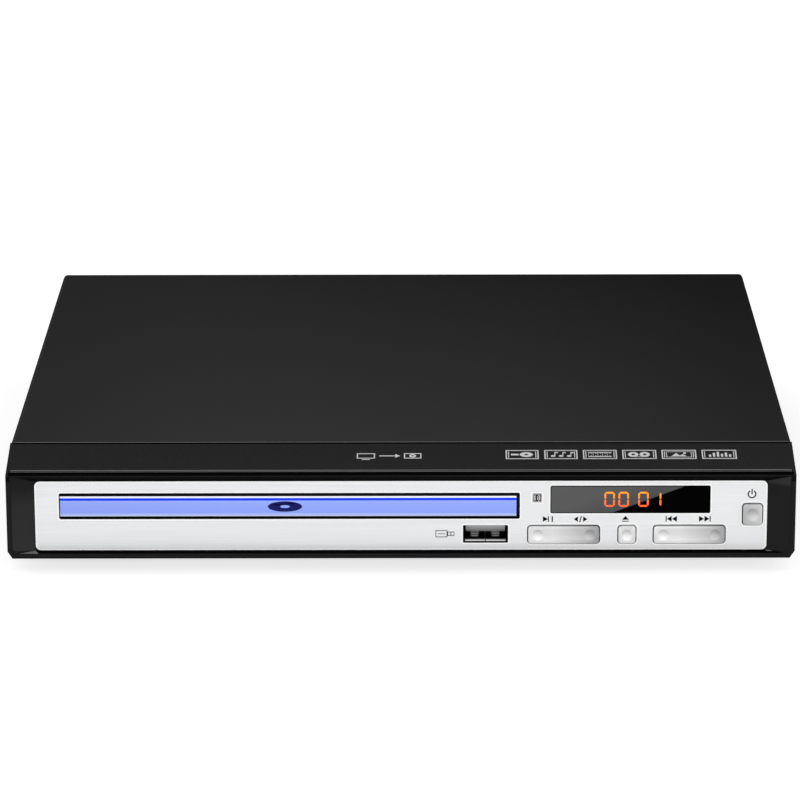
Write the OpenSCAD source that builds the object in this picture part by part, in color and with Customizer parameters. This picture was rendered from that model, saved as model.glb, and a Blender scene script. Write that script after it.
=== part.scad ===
// Compact disc player with a motor-driven tray, in millimetres.
// +Z is up, the front faces -Y and the feet rest on z = 0.
// Every piece is drawn in its place. Inside from_front, y counts from the front rim;
// inside in_loader, x also counts from the middle of the tray.

/* [Case] */
// Width of the case
case_w = 225; // [221:1:240]
// Depth from the front rim to the back of the cover
case_d = 207.8; // [202:0.2:225]
// Height from the lower edge of the bezel to the top of the cover
body_h = 29.4; // [28.6:0.1:34]
// Height of the front face below the sloped band
face_h = 24.8; // [24.4:0.1:26]
// Depth of the sloped band behind the front rim
band_d = 17.4; // [16.8:0.1:18.2]
// Thickness of the steel sheet
sheet_t = 0.8; // [0.6:0.1:1]
// Outer radius of the cover's folds
fold_r = 1.4; // [1.1:0.1:2.5]
// Radius of the cover's rear corners, seen from above
corner_r = 1.5; // [0.8:0.1:3]
// Depth of the cover's rear lip
lip_h = 5; // [4:0.5:7]
// Wall of the moulded bezel
bezel_wall = 2; // [1.6:0.1:2.1]
// Height of the chassis' front flange
flange_h = 6; // [4:0.5:6.5]
// Height of the chassis' side flanges
side_h = 9; // [6:0.5:14]
// Height of the rubber feet
foot_h = 4; // [3:0.5:8]
// Radius of the rubber feet
foot_r = 8; // [6:0.5:10]
// Distance from the case's sides to the middle of a foot
foot_side = 26; // [20:1:40]
// Distance from the front rim or the rear panel to the middle of a foot
foot_set = 34; // [28:1:50]

/* [Front face] */
// Distance from the fascia panel to the side of the case
panel_margin = 7.9; // [7.5:0.1:9]
// Height of the fascia panel
panel_h = 20.6; // [20:0.1:21]
// Lower edge of the fascia panel above the bezel's lower edge
panel_z = 1.6; // [1.5:0.1:2]
// Depth of the fascia panel behind the front rim
recess_d = 3; // [2:0.1:3.2]
// Thickness of the fascia panel
panel_t = 1.2; // [0.8:0.1:1.4]
// Corner radius of the fascia panel
panel_r = 1.5; // [0.8:0.1:2]
// Width of the bezel's front rim at the sides
rim_w = 1.4; // [0.8:0.1:2]
// Height of the bezel's front rim above the recess
rim_h = 0.3; // [0.2:0.1:1]
// Height of the bezel's front rim below the recess
sill_h = 1.5; // [1.3:0.1:1.6]
// Radius of the recess' lower corners at the front rim
recess_r = 2; // [1:0.1:3]
// Distance of the groove in the band from the front rim
groove_y = 2.2; // [1.8:0.1:2.8]
// Width and depth of the groove in the band
groove_w = 0.7; // [0.4:0.1:0.9]
// Distance of the groove's ends from the sides of the case
groove_end = 1; // [0.6:0.1:2]
// Gap round each piece that fills an opening
trim_gap = 0.3; // [0.25:0.05:0.4]
// Left edge of the tray opening from the middle of the case
door_x = -97.7; // [-99:0.1:-96.5]
// Width of the tray opening
door_w = 131.7; // [131:0.1:132]
// Lower edge of the tray opening above the bezel's lower edge
door_z = 10.9; // [10.7:0.1:11.2]
// Height of the tray opening
door_h = 7.8; // [7.4:0.1:8]
// Bevel along the upper and lower edges of the tray door
door_bevel = 0.9; // [0.4:0.1:1.5]
// Left edge of the display window from the middle of the case
display_x = 42.8; // [41.8:0.1:44]
// Width of the display window
display_w = 45.5; // [44:0.1:46.5]
// Lower edge of the display window above the bezel's lower edge
display_z = 12.6; // [12.4:0.1:12.8]
// Height of the display window
display_h = 8.1; // [7.8:0.1:8.4]
// Lower edge of the button row above the bezel's lower edge
button_z = 3.6; // [3.4:0.1:3.7]
// Height of the buttons in the row
button_h = 5.2; // [5:0.1:5.4]
// Corner radius of the buttons
button_r = 0.9; // [0.5:0.1:1.5]
// Height of the buttons above the fascia panel
button_proud = 0.8; // [0.4:0.1:1.2]
// Left edge of the play bar
play_x = 36.4; // [36.1:0.1:36.7]
// Length of the play bar and of the skip bar
bar_w = 20.3; // [19.8:0.1:20.6]
// Left edge of the eject button
eject_x = 62.2; // [61.8:0.1:62.4]
// Width of the eject button
eject_w = 4.9; // [4.6:0.1:5.4]
// Left edge of the skip bar
skip_x = 72.3; // [71.9:0.1:72.5]
// Left edge of the power button
power_x = 97.7; // [97.2:0.1:98]
// Width of the power button
power_w = 5.5; // [5.2:0.1:5.8]
// Lower edge of the power button above the bezel's lower edge
power_z = 9.1; // [8.7:0.1:9.3]
// Height of the power button
power_h = 6.2; // [5.8:0.1:6.4]
// Radius of the round dimples in the bars and the eject button
dimple_r = 1.6; // [1:0.1:1.8]
// Radius of the power button's dimple
power_dimple_r = 1.8; // [1.2:0.1:2.1]
// Depth of the dimples
dimple_t = 0.4; // [0.2:0.1:0.6]
// Distance from the middle of a bar to each dimple
dimple_x = 7.4; // [6:0.1:7.8]
// Middle of the USB socket
usb_x = 24.2; // [23.8:0.1:24.8]
// Lower edge of the USB cut-out above the bezel's lower edge
usb_z = 3.7; // [3.6:0.1:3.9]
// Width of the USB cut-out
usb_w = 12.9; // [12.7:0.1:13.1]
// Height of the USB cut-out
usb_h = 5.3; // [5.2:0.1:5.6]
// Left edge of the infrared window
ir_x = 37.6; // [37.3:0.1:37.8]
// Lower edge of the infrared window above the bezel's lower edge
ir_z = 15.8; // [15.5:0.1:16]
// Width of the infrared window
ir_w = 2.7; // [2.3:0.1:2.8]
// Height of the infrared window
ir_h = 2.7; // [2.3:0.1:3]

/* [Tray] */
// Diameter of a disc
disc_d = 120; // [119:1:121]
// Thickness of a disc
disc_t = 1.2; // [1:0.1:1.3]
// Clearance round the disc in its pocket
pocket_gap = 0.7; // [0.4:0.1:0.9]
// Depth of the disc pocket
pocket_h = 2.8; // [2.4:0.1:2.9]
// Thickness of the tray under the pocket
tray_t = 1.3; // [1.1:0.1:1.5]
// Distance from the back of the door to the pocket
pocket_y = 8; // [7:0.5:10]
// Half width of the tray's body
tray_x = 63.4; // [62.6:0.1:63.6]
// Width of the tongue that runs in the loader's guides
tongue_w = 1.8; // [1.5:0.1:1.9]
// Thickness of the tongue
tongue_t = 1.5; // [1.2:0.1:1.7]
// Distance from the tray's rear edge to the loader's rear wall
tray_back = 4; // [3:0.5:6]
// Thickness of the tray door
door_t = 2.5; // [2.2:0.1:2.8]
// Half width of the tray's slot for the turntable
slot_x = 18; // [17:0.5:19]
// Diameter of the small disc's pocket
small_d = 80; // [78:1:82]
// Height of the rack under the tray
rack_h = 2; // [1.8:0.1:2.2]
// Clearance between the lowest edge of the tray and its opening
tray_gap = 0.4; // [0.3:0.1:0.5]

/* [Loader] */
// Front edge of the loader frame
loader_y = 19; // [18.6:0.1:19.2]
// Depth behind the loader for the sockets
rear_room = 24; // [23:0.5:27]
// Height of the loader frame's floor above the chassis
loader_rise = 1.2; // [1:0.1:1.4]
// Wall of the loader frame
loader_wall = 2; // [1.5:0.1:2.4]
// Thickness of the loader frame's floor
loader_floor = 1.5; // [1.2:0.1:1.7]
// Clearance of the tray's tongue in its guides
guide_gap = 0.3; // [0.2:0.05:0.35]
// Width of the loader's screw ears
ear_w = 6.4; // [6:0.1:7]
// Gap between meshing gears and racks, along the pitch line
backlash = 0.16; // [0.1:0.02:0.3]
// Module of the rack and its gear
rack_m = 1; // [1:0.1:1]
// Teeth of the gear that drives the rack
rack_teeth = 16; // [16:1:16]
// Module of the large wheel and its pinion
wheel_m = 0.8; // [0.8:0.1:0.8]
// Teeth of the large wheel
wheel_teeth = 44; // [44:1:44]
// Teeth of the pinion on the pulley
pinion_teeth = 10; // [10:1:10]
// Distance of the gear centres behind the front rim
gear_y = 38; // [37.6:0.1:38.2]
// Radius of the groove of the large pulley
pulley_r = 11.6; // [11:0.1:11.8]
// Radius of the groove of the motor's pulley
motor_pulley_r = 2.5; // [2.2:0.1:3]
// Thickness of the drive belt
belt_t = 0.6; // [0.4:0.1:0.8]
// Radius of the loading motor
motor_r = 11; // [10:0.5:12]
// Distance from the middle of the tray to the loading motor
motor_x = 12; // [10:0.5:14]
// Height of the bridge above the tray
bridge_rise = 3.2; // [3:0.1:3.6]
// Thickness of the clamp bridge
bridge_t = 1.2; // [1:0.1:1.5]

/* [Traverse] */
// Lift of the disc out of the pocket
disc_lift = 1.8; // [1.6:0.1:2]
// Radius of the turntable
turntable_r = 14.5; // [13:0.5:15]
// Radius of the hub that centres the disc
hub_r = 7.4; // [7.3:0.05:7.45]
// Height of the hub above the disc's lower face
hub_h = 1.8; // [1.5:0.1:1.9]
// Radius of the spindle motor
spindle_r = 13; // [12:0.5:13.5]
// Half width of the traverse frame
traverse_x = 44; // [43:0.5:44.5]
// Thickness of the traverse frame
traverse_t = 1.5; // [1.2:0.1:1.8]
// Distance from the spindle to the hinge of the traverse
hinge_arm = 81.5; // [80.5:0.5:82]
// Distance from the spindle to the front edge of the traverse
traverse_front = 14; // [14:0.5:15]
// Angle through which the traverse drops
tilt = 3.65; // [3.5:0.05:3.8]
// Travel of the cam slider
cam_travel = 18; // [16:0.5:19]
// Radius of the cam pins
cam_pin_r = 1; // [0.8:0.1:1.1]
// Distance from the middle to each cam pin
cam_pin_x = 25; // [24:0.5:26]
// Radius of the guide rods
rod_r = 1.5; // [1.2:0.1:1.6]
// Distance from the middle to each guide rod
rod_x = 24; // [23:0.5:24.5]
// Distance from the middle to the lead screw
screw_x = 31.5; // [31:0.5:32]
// Radius of the lead screw
screw_r = 1.4; // [1.2:0.1:1.5]
// Lens position at the start of a disc, from the spindle
lens_start = 24; // [23.5:0.5:25]
// Travel of the pickup sled
sled_travel = 34; // [30:1:35]
// Radius of the lens
lens_r = 2.6; // [2:0.1:3]

/* [Electronics] */
// Thickness of the circuit boards
board_t = 1.6; // [1.2:0.1:1.8]
// Height of the boards above the chassis
standoff_h = 4; // [3:0.5:5]
// Distance of the front board behind the front rim
front_board_y = 14; // [13.8:0.1:14.2]
// Protrusion of the AV jacks behind the case
jack_out = 7; // [5:0.5:9]
// Radius of the AV jacks' metal shells
jack_r = 4.15; // [4:0.05:4.3]
// Distance between neighbouring AV jacks
jack_pitch = 13; // [12:0.5:14]
// Middle of the first AV jack
jack_x = -14; // [-18:1:-12]
// Height of the AV jacks above the chassis
jack_z = 15.5; // [14:0.5:17]
// Middle of the HDMI socket
hdmi_x = 54; // [50:1:60]
// Distance from the case's side to the middle of the mains inlet
inlet_side = 16.5; // [16:0.5:20]
// Depth of the power board
power_d = 68; // [66:1:70]
// Gap between neighbouring parts on the boards
part_gap = 3; // [2:0.5:3.5]
// Width of the transformer's core
core_w = 22; // [20:0.5:23]
// Depth of the transformer's core
core_d = 18; // [16:0.5:20]
// Height of the transformer's core
core_h = 15; // [13:0.5:16]
// Thickness of the core's legs
core_t = 4; // [3:0.5:5]
// Height of the heat sink
sink_h = 16; // [12:0.5:17]
// Depth of the heat sink
sink_d = 28; // [24:1:30]
// Radius of the largest capacitor
bulk_r = 8; // [6:0.5:9]
// Gap between the tallest capacitor and the cover
bulk_gap = 3.2; // [3:0.1:6]
// Radius of the small capacitors
small_r = 4; // [3:0.5:5]
// Height of the small capacitors
small_h = 12; // [10:0.5:16]
// Radius of the output capacitor
output_r = 5; // [4:0.5:6]
// Width of the main chip
chip_w = 20; // [16:1:22]
// Height of the main chip
chip_h = 1.6; // [1.2:0.1:2]

/* [Hidden] */
$fn = 48;
eps = 0.01;

// The case
z0 = foot_h;
floor_z = z0 + sheet_t;
top_z = z0 + body_h;
ceiling_z = top_z - sheet_t;
sheet_gap = 0.15;
seam = 0.4;
fold_gap = 0.1;
chassis_x = case_w / 2 - sheet_t - sheet_gap;
chassis_y = band_d + seam + fold_gap;
rear_y = case_d - 2 * sheet_t;
front_y = -(case_d + jack_out) / 2;
bezel_floor = z0 + bezel_wall;
bezel_in = case_w / 2 - bezel_wall;
wall_y = recess_d + panel_t;
inside_y = wall_y + bezel_wall;
vent_pitch = 6;
vent_w = 2;
spigot_r = 2.5;
clip_t = 1.2;
clip_reach = 8;
corner_cut = [1.4, 2.1];
tab_half = 3;
tab_h = 2;
usb_rib = 7;
usb_rib_t = 0.8;
bead_h = 0.4;
bead_w = 6;
cover_screws = [-1, 0, 1];
cover_screw_side = 30;
slit_count = 10;
slit_end = 40;
panel_vents = 12;

// The front face
panel_x = case_w / 2 - panel_margin;
shoulder = 1;
pivot_r = 0.8;
pivot_y = inside_y + 1.4;
lug_t = 1.2;
pin_fit = 0.05;
press = 0.5;
button_front = recess_d - button_proud;
button_mid = z0 + button_z + button_h / 2;
power_mid = z0 + power_z + power_h / 2;
plunger = 2.6;
tact_w = 6;
tact_front = front_board_y - 4.2;
switch_front = front_board_y - 5;
flange_t = 0.8;
key_back = inside_y + 0.4;
plunger_x = bar_w / 2 - 2.1;

// Boards behind the face
front_board_x0 = play_x - 1.2;
front_board_x1 = case_w / 2 - bezel_wall - 1.5;
front_board_top = z0 + face_h - 0.8;
boss_r = 2.2;
BOSSES = [
  [ir_x + ir_w / 2, z0 + ir_z + ir_h + 2.9],
  [display_x + display_w + 3.5, z0 + display_z + display_h - 1.1],
  [front_board_x1 - 2.6, z0 + 5.4]
];
usb_shell_t = 0.3;
usb_shell_w = 13.1;
usb_shell_h = 5.7;
usb_shell_d = 12.4;
usb_mid = z0 + usb_z + usb_h / 2;
usb_floor = usb_mid - usb_shell_h / 2;
usb_board_t = 1.2;
spring_x = 3;
spring_w = 1.9;
spring_lift = 0.9;
tongue_half = 5.6;
tongue_h = 1.9;

// The tray, from its lowest edge up
loader_x = door_x + door_w / 2;
tray_y = recess_d + door_t;
loader_end = case_d - rear_room;
tray_end = loader_end - loader_wall - tray_back;
rack_z = z0 + door_z + tray_gap;
tray_z = rack_z + rack_h;
pocket_floor = tray_z + tray_t;
tray_top = pocket_floor + pocket_h;
pocket_r = disc_d / 2 + pocket_gap;
disc_y = tray_y + pocket_y + pocket_r;
tray_skin = 1.5;
small_step = 0.7;
scoop_r = 9;
rack_x = 54;
rack_back = 4;

// The loader
loader_z = floor_z + loader_rise;
loader_top = tray_top + 0.6;
guide_x = tray_x + tongue_w + 0.4;
loader_half = guide_x + loader_wall;
ledge_x = 61.5;
ledge_t = 1.4;
tab_x = tray_x + guide_gap;
ear_x = loader_half + ear_w;
EARS = [loader_y + 11, loader_end - 13];
ear_hole = 2.5;
ear_t = 2;
damper_top = loader_z + ear_t + 0.8;
deck_z = loader_z + loader_floor;
opening_x = traverse_x + 3;
opening_y0 = disc_y - traverse_front - 6.5;
cam_bay = 52;

// Gears
rack_gear_r = rack_teeth * rack_m / 2;
wheel_r = wheel_teeth * wheel_m / 2;
pinion_r = pinion_teeth * wheel_m / 2;
gear_x = -rack_x + rack_gear_r;
pulley_x = gear_x + wheel_r + pinion_r;
small_z = tray_z - 0.3;
wheel_z = small_z - 5.4;
wheel_t = 2.6;
gear_post = 1.5;
pulley_post = 1;
belt_gap = 0.05;
pulley_flange = 0.7;
pulley_t = 2.5;
shaft_r = 0.75;
motor_h = 6.5;

// The clamp
bridge_z = tray_top + bridge_rise;
bridge_hole = turntable_r + 1;
bridge_half = 11;
puck_z = pocket_floor + disc_lift + disc_t + 0.2;
puck_flange = 3.5;
puck_lip = 1.2;
puck_free = 0.4;
plate_r = 8;
plate_t = 1.4;

// The traverse
disc_z = pocket_floor + disc_lift;
hub_top = disc_z + hub_h;
table_t = 1.8;
traverse_z = disc_z - 8;
axis_z = traverse_z + traverse_t / 2;
hinge_y = disc_y + hinge_arm;
traverse_y0 = disc_y - traverse_front;
traverse_y1 = hinge_y + 2.5;
hinge_r = 1.5;
hinge_fit = 0.06;
lug_x = opening_x + 0.4;
lug_w = 2.6;
cam_y = traverse_y0 - 3.3;
cam_t = 2;
pin_z = axis_z + 1.65;
pin_arm = hinge_y - cam_y - cam_t / 2;
pin_drop = pin_arm * sin(tilt) + (pin_z - axis_z) * (1 - cos(tilt));
cam_gap = 0.15;
cam_z0 = pin_z - pin_drop - cam_pin_r - 1.2;
cam_z1 = tray_z - 0.4;
cam_x0 = -cam_pin_x - cam_travel - 3;
cam_x1 = cam_pin_x + 4;
cam_foot_y = cam_y - 7;
cam_foot_t = 1.2;
hook_z = deck_z + 2 * guide_gap + cam_foot_t;

// The pickup
lens_y = disc_y + lens_start;
sled_y0 = lens_y - 7.5;
sled_y1 = lens_y + 13;
bay_y0 = sled_y0 - 0.5;
bay_y1 = sled_y1 + sled_travel + 1.5;
rod_block = 4;
block_half = 2.2;
rod_fit = 0.06;
sled_z = disc_z - 10.6;
sled_half = rod_x + rod_r + 2;
bay_gap = 0.9;
bay_x1 = screw_x + 3.5;
yoke_z = tray_z - 3.7;
lens_half = 4;
stepper_r = 3.6;
stepper_d = 10;

// The boards
board_z = floor_z + standoff_h;
board_top = board_z + board_t;
board_gap = 8;
column_x0 = loader_x + ear_x + 1.6;
column_x1 = case_w / 2 - 2 * sheet_t - sheet_gap - 2.4;
power_x1 = column_x1 - 9;
power_y0 = chassis_y + 5;
power_y1 = power_y0 + power_d;
main_y0 = power_y1 + board_gap;
main_y1 = rear_y - 1;
tail_y0 = loader_end + 3.5;
main_x1 = case_w / 2 - inlet_side - 12;
main_x0 = jack_x - 8;
JACKS = [0, 1, 2, 3.2];
jack_mid = floor_z + jack_z;
jack_bore = 1.8;
jack_wall = 0.45;
jack_body = 10;
jack_depth = 12;
inlet_x = case_w / 2 - inlet_side;
inlet_z = floor_z + 12.5;
inlet_w = 20;
inlet_h = 13.6;
inlet_d = 16;
inlet_cavity_w = 16.4;
inlet_cavity_h = 8.6;
inlet_lip = 1.4;
pin_gap = 8.6;
pin_r = 1.2;
hdmi_w = 15;
hdmi_h = 5.6;
hdmi_d = 11;
hdmi_t = 0.4;
screw_head = 2.6;
screw_shank = 1.2;
screw_fit = 0.08;
ribbon_plug = 4;
ribbon_y = front_board_y + usb_board_t + 1.2;
ribbon_z = floor_z + flange_h + 3.5;
mains_block_x = power_x1 - 13;
mains_block_y = power_y1 - 1;
wire_w = 2;
sink_x = column_x0 + 17;
sink_y = power_y0 + 20;
sink_t = 1.6;
fin_d = 3;
fin_t = 1.2;
fin_pitch = 6.2;
core_x = sink_x + sink_t + part_gap + core_w / 2;
core_y = power_y0 + 36;
coil_w = core_w - 6;
coil_d = core_d - 3;
coil_inset = 1;
bulk_y = core_y - core_d / 2 - part_gap - 1 - bulk_r;
bulk_h = ceiling_z - bulk_gap - board_top;
small_pitch = 10;
output_h = 15;
chip_x = column_x0 + 19;
chip_y = main_y0 + 34;
memory_size = [11, 20, 1.2];
driver_size = [6, 5, 1.6];
coupling_r = 2.5;
coupling_h = 7;
coupling_pitch = 8;
plug_w = 12;
plug_d = 6;
plug_h = 6;
plug_x = column_x0 + 12;
STANDOFFS = concat(
  [for (x = [column_x0 + 4, power_x1 - 4]) for (y = [power_y0 + 4, power_y1 - 4]) [x, y]],
  [for (x = [column_x0 + 4, main_x1 - 4]) [x, main_y0 + 4]],
  [[main_x0 + 4, tail_y0 + 4], [column_x0 + 4, tail_y0 + 4]]
);
BEAD_X = about(loader_x, traverse_x + 6);
BEADS = [gear_y + 21, disc_y + 6, disc_y + 50];

// A frame whose y counts from the front rim
module from_front() {
  translate([0, front_y, 0]) children();
}

// A frame whose x also counts from the middle of the tray
module in_loader() {
  translate([loader_x, front_y, 0]) children();
}

// The children and their mirror image about x = 0
module both_sides() {
  children();
  mirror([1, 0, 0]) children();
}

// A block between three pairs of limits
module box(x, y, z) {
  translate([x[0], y[0], z[0]]) cube([x[1] - x[0], y[1] - y[0], z[1] - z[0]]);
}

// An upright cylinder at p, between two heights
module disc(r, z, p = [0, 0]) {
  translate([p[0], p[1], z[0]]) cylinder(r = r, h = z[1] - z[0]);
}

// A cylinder along y
module bar_y(r, y, x, z) {
  translate([x, y[1], z]) rotate([90, 0, 0]) cylinder(r = r, h = y[1] - y[0]);
}

// A cylinder along x
module bar_x(r, x, y, z) {
  translate([x[0], y, z]) rotate([0, 90, 0]) cylinder(r = r, h = x[1] - x[0]);
}

// A rectangle with round corners
module round_rect(x, y, r) {
  translate([x[0] + r, y[0]]) square([x[1] - x[0] - 2 * r, y[1] - y[0]]);
  translate([x[0], y[0] + r]) square([x[1] - x[0], y[1] - y[0] - 2 * r]);
  for (cx = [x[0] + r, x[1] - r]) {
    for (cy = [y[0] + r, y[1] - r]) {
      translate([cx, cy]) circle(r = r);
    }
  }
}

// An upright plate with round corners, seen from the front
module face_plate(x, y, z, r) {
  translate([0, y[1], 0]) rotate([90, 0, 0]) linear_extrude(y[1] - y[0]) round_rect(x, z, r);
}

// A lying plate with round corners, seen from above
module deck_plate(x, y, z, r) {
  translate([0, 0, z[0]]) linear_extrude(z[1] - z[0]) round_rect(x, y, r);
}

// A shape drawn in the y-z plane, extruded along x
module side_profile(x, points) {
  translate([x[0], 0, 0]) rotate([90, 0, 90]) linear_extrude(x[1] - x[0]) polygon(points);
}

// A pair of limits, moved apart by g at both ends
function grow(s, g) = [s[0] - g, s[1] + g];

// A pair of limits at a distance of g from c
function about(c, g) = [c - g, c + g];

// Points along an arc about p
function arc_points(p, r, from, to, steps) =
  [for (k = [0:steps]) let (a = from + (to - from) * k / steps) p + r * [cos(a), sin(a)]];

// A path's points, shifted by t to the right of its course
function beside(path, t) = [
  for (i = [0:len(path) - 1])
  let (step = path[min(i + 1, len(path) - 1)] - path[max(i - 1, 0)])
  path[i] + t * [step[1], -step[0]] / norm(step)
];

// A strip that follows points in the y-z plane
module bent_strip(x, path, t) {
  below = beside(path, t);
  side_profile(x, concat(path, [for (i = [len(path) - 1:-1:0]) below[i]]));
}

// Involute function, in degrees
function inv(a) = tan(a) * 180 / PI - a;
PRESSURE = 20;
ADDENDUM = 0.85;
DEDENDUM = 1.2;

// Angle from a tooth's middle to its flank at radius r
function flank(teeth, m, r) =
  let (base = teeth * m / 2 * cos(PRESSURE))
  90 / teeth - backlash / (teeth * m) * 90 / PI + inv(PRESSURE) - inv(acos(base / max(r, base)));

// Outline of a spur gear with a tooth on the x axis
function gear_points(teeth, m) =
  let (
    root = teeth * m / 2 - DEDENDUM * m,
    tip = teeth * m / 2 + ADDENDUM * m,
    radii = [for (k = [0:4]) root + (tip - root) * k / 4]
  )
  [for (t = [0:teeth - 1]) each concat(
    [for (k = [0:4]) let (a = t * 360 / teeth - flank(teeth, m, radii[k])) radii[k] * [cos(a), sin(a)]],
    [for (k = [4:-1:0]) let (a = t * 360 / teeth + flank(teeth, m, radii[k])) radii[k] * [cos(a), sin(a)]]
  )];

module gear(teeth, m, z, turn = 0) {
  translate([0, 0, z[0]]) rotate([0, 0, turn]) linear_extrude(z[1] - z[0]) polygon(gear_points(teeth, m));
}

// Outline of the tray's rack, with a gap beside the gear's middle
function rack_points() =
  let (
    pitch = PI * rack_m,
    first = ceil((tray_y + 3 - gear_y) / pitch),
    last = floor((tray_end - 1 - gear_y) / pitch),
    half = pitch / 4 - backlash / 4,
    lean = tan(PRESSURE) * rack_m,
    tip = -rack_x + ADDENDUM * rack_m,
    root = -rack_x - DEDENDUM * rack_m
  )
  concat(
    [
      [-rack_x - rack_back, gear_y + (last + 0.5) * pitch],
      [-rack_x - rack_back, gear_y + (first - 0.5) * pitch]
    ],
    [for (k = [first:last - 1]) let (c = gear_y + (k + 0.5) * pitch) each [
      [root, c - half - DEDENDUM * lean],
      [tip, c - half + ADDENDUM * lean],
      [tip, c + half - ADDENDUM * lean],
      [root, c + half + DEDENDUM * lean]
    ]],
    [[root, gear_y + (last + 0.5) * pitch]]
  );

// ---- The case ----

module bottom_chassis() {
  vents = floor((board_gap + power_d - 18) / vent_pitch);
  vent_y = power_y1 - 30;
  color("#8d9094") from_front() difference() {
    union() {
      box([-chassis_x, chassis_x], [chassis_y, case_d - sheet_t], [z0, floor_z]);
      box([-chassis_x, chassis_x], [chassis_y, chassis_y + sheet_t], [floor_z - eps, floor_z + flange_h]);
      both_sides() {
        box([chassis_x - sheet_t, chassis_x], [chassis_y, rear_y - 0.2], [floor_z - eps, floor_z + side_h]);
      }
      for (p = STANDOFFS) disc(screw_head, [floor_z - eps, board_z], p);
      for (y = BEADS) {
        deck_plate(BEAD_X, about(y, bead_w / 2), [floor_z - eps, floor_z + bead_h], bead_w / 2 - eps);
      }
    }
    for (p = STANDOFFS) disc(screw_shank + screw_fit, [z0 + sheet_t / 2, board_z + 1], p);
    for (x = [-1, 1]) for (y = [foot_set, rear_y - foot_set]) {
      disc(spigot_r + screw_fit, [z0 - 1, floor_z + 1], [x * (case_w / 2 - foot_side), y]);
    }
    for (x = [-1, 1]) for (y = EARS) {
      disc(screw_shank + screw_fit, [z0 - 1, floor_z + 1], [loader_x + x * (ear_x - ear_w / 2), y]);
    }
    for (k = [1:vents]) {
      deck_plate([column_x0 + 12, power_x1 - 12], [vent_y + k * vent_pitch, vent_y + k * vent_pitch + vent_w],
        [z0 - 1, floor_z + 1], vent_w / 2 - eps);
    }
    // The beads are pressed in from below
    for (y = BEADS) {
      deck_plate(grow(BEAD_X, -bead_h), about(y, bead_w / 2 - bead_h), [z0 - 1, z0 + bead_h],
        bead_w / 2 - bead_h - eps);
    }
  }
}

module rubber_feet() {
  color("#202022") from_front() {
    for (x = [-1, 1]) for (y = [foot_set, rear_y - foot_set]) {
      translate([x * (case_w / 2 - foot_side), y, 0]) rotate_extrude() polygon([
        [0, 0], [foot_r - 1.2, 0], [foot_r - 0.4, 0.8], [foot_r, foot_h],
        [spigot_r, foot_h], [spigot_r, floor_z + 0.2], [spigot_r + 0.5, floor_z + 0.6],
        [spigot_r - 0.8, floor_z + 1], [0, floor_z + 1]
      ]);
    }
  }
}

// An arch whose two upper corners are round
module arch(half, low, high, r) {
  translate([-half, low]) square([2 * half, high - low - r]);
  translate([-half + r, low]) square([2 * (half - r), high - low]);
  for (x = [-half + r, half - r]) translate([x, high - r]) circle(r = r);
}

module top_cover() {
  y0 = band_d + seam;
  color("#303032") from_front() difference() {
    intersection() {
      union() {
        translate([0, case_d, 0]) rotate([90, 0, 0]) linear_extrude(case_d - y0) difference() {
          arch(case_w / 2, z0, top_z, fold_r);
          arch(case_w / 2 - sheet_t, z0 - 1, ceiling_z, fold_r - sheet_t);
        }
        box([-case_w / 2 + sheet_t, case_w / 2 - sheet_t], [case_d - sheet_t, case_d],
          [ceiling_z - lip_h, ceiling_z + eps]);
      }
      translate([0, 0, z0 - 1]) linear_extrude(body_h + 2) {
        round_rect([-case_w / 2, case_w / 2], [y0 - 2 * corner_r, case_d], corner_r);
      }
    }
    for (k = [0:slit_count - 1]) both_sides() {
      side_profile([case_w / 2 - sheet_t - 1, case_w / 2 + 1],
        let (y = case_d - slit_end - k * vent_pitch, z = floor_z + side_h + 2)
        [[y, z], [y + vent_w, z], [y + vent_w, ceiling_z - 4], [y, ceiling_z - 4]]);
    }
    cover_holes();
  }
}

// The holes of the cover's three rear screws
module cover_holes() {
  for (x = cover_screws) {
    bar_y(screw_shank + screw_fit, [rear_y - 1, case_d + 1], x * (case_w / 2 - cover_screw_side),
      ceiling_z - lip_h / 2);
  }
}

module rear_panel() {
  color("#9a9da1") from_front() difference() {
    box([-chassis_x, chassis_x], [rear_y, case_d - sheet_t],
      [floor_z, ceiling_z - sheet_gap - fold_gap]);
    for (k = JACKS) bar_y(jack_r + 0.6, [rear_y - 1, case_d], jack_x + k * jack_pitch, jack_mid);
    box(about(hdmi_x, hdmi_w / 2 + 0.4), [rear_y - 1, case_d], [board_top - 0.4, board_top + hdmi_h + 0.4]);
    box(about(inlet_x, inlet_w / 2 + 0.2), [rear_y - 1, case_d], about(inlet_z, inlet_h / 2 + 0.2));
    cover_holes();
    for (k = [0:panel_vents - 1]) panel_vent(-case_w / 2 + 24 + k * vent_pitch * 0.75);
  }
}

// One upright vent slot of the rear panel
module panel_vent(x) {
  face_plate([x, x + vent_w], [rear_y - 1, case_d], [floor_z + 7, floor_z + 17], vent_w / 2 - eps);
}

// A pan-head screw along +y, with its head at the rear
module rear_screw(x, z, head_y, length) {
  bar_y(screw_shank, [head_y - length, head_y + eps], x, z);
  translate([x, head_y, z]) rotate([-90, 0, 0]) rotate_extrude() polygon([
    [0, 0], [screw_head, 0], [screw_head - 0.2, 0.9], [screw_head - 1, 1.5], [0, 1.6]
  ]);
}

// A pan-head screw along z, with its head above
module deck_screw(p, head_z, length) {
  disc(screw_shank, [head_z - length, head_z + eps], p);
  translate([p[0], p[1], head_z]) rotate_extrude() polygon([
    [0, 0], [screw_head, 0], [screw_head - 0.2, 0.9], [screw_head - 1, 1.5], [0, 1.6]
  ]);
}

module case_screws() {
  color("#b9bbbd") from_front() {
    for (x = cover_screws) rear_screw(x * (case_w / 2 - cover_screw_side), ceiling_z - lip_h / 2, case_d, 5);
    for (p = STANDOFFS) deck_screw(p, board_top, board_t + standoff_h - 0.6);
    for (b = BOSSES) rear_screw(b[0], b[1], front_board_y + usb_board_t, 5 + usb_board_t);
  }
}

// ---- The front face ----

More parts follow.
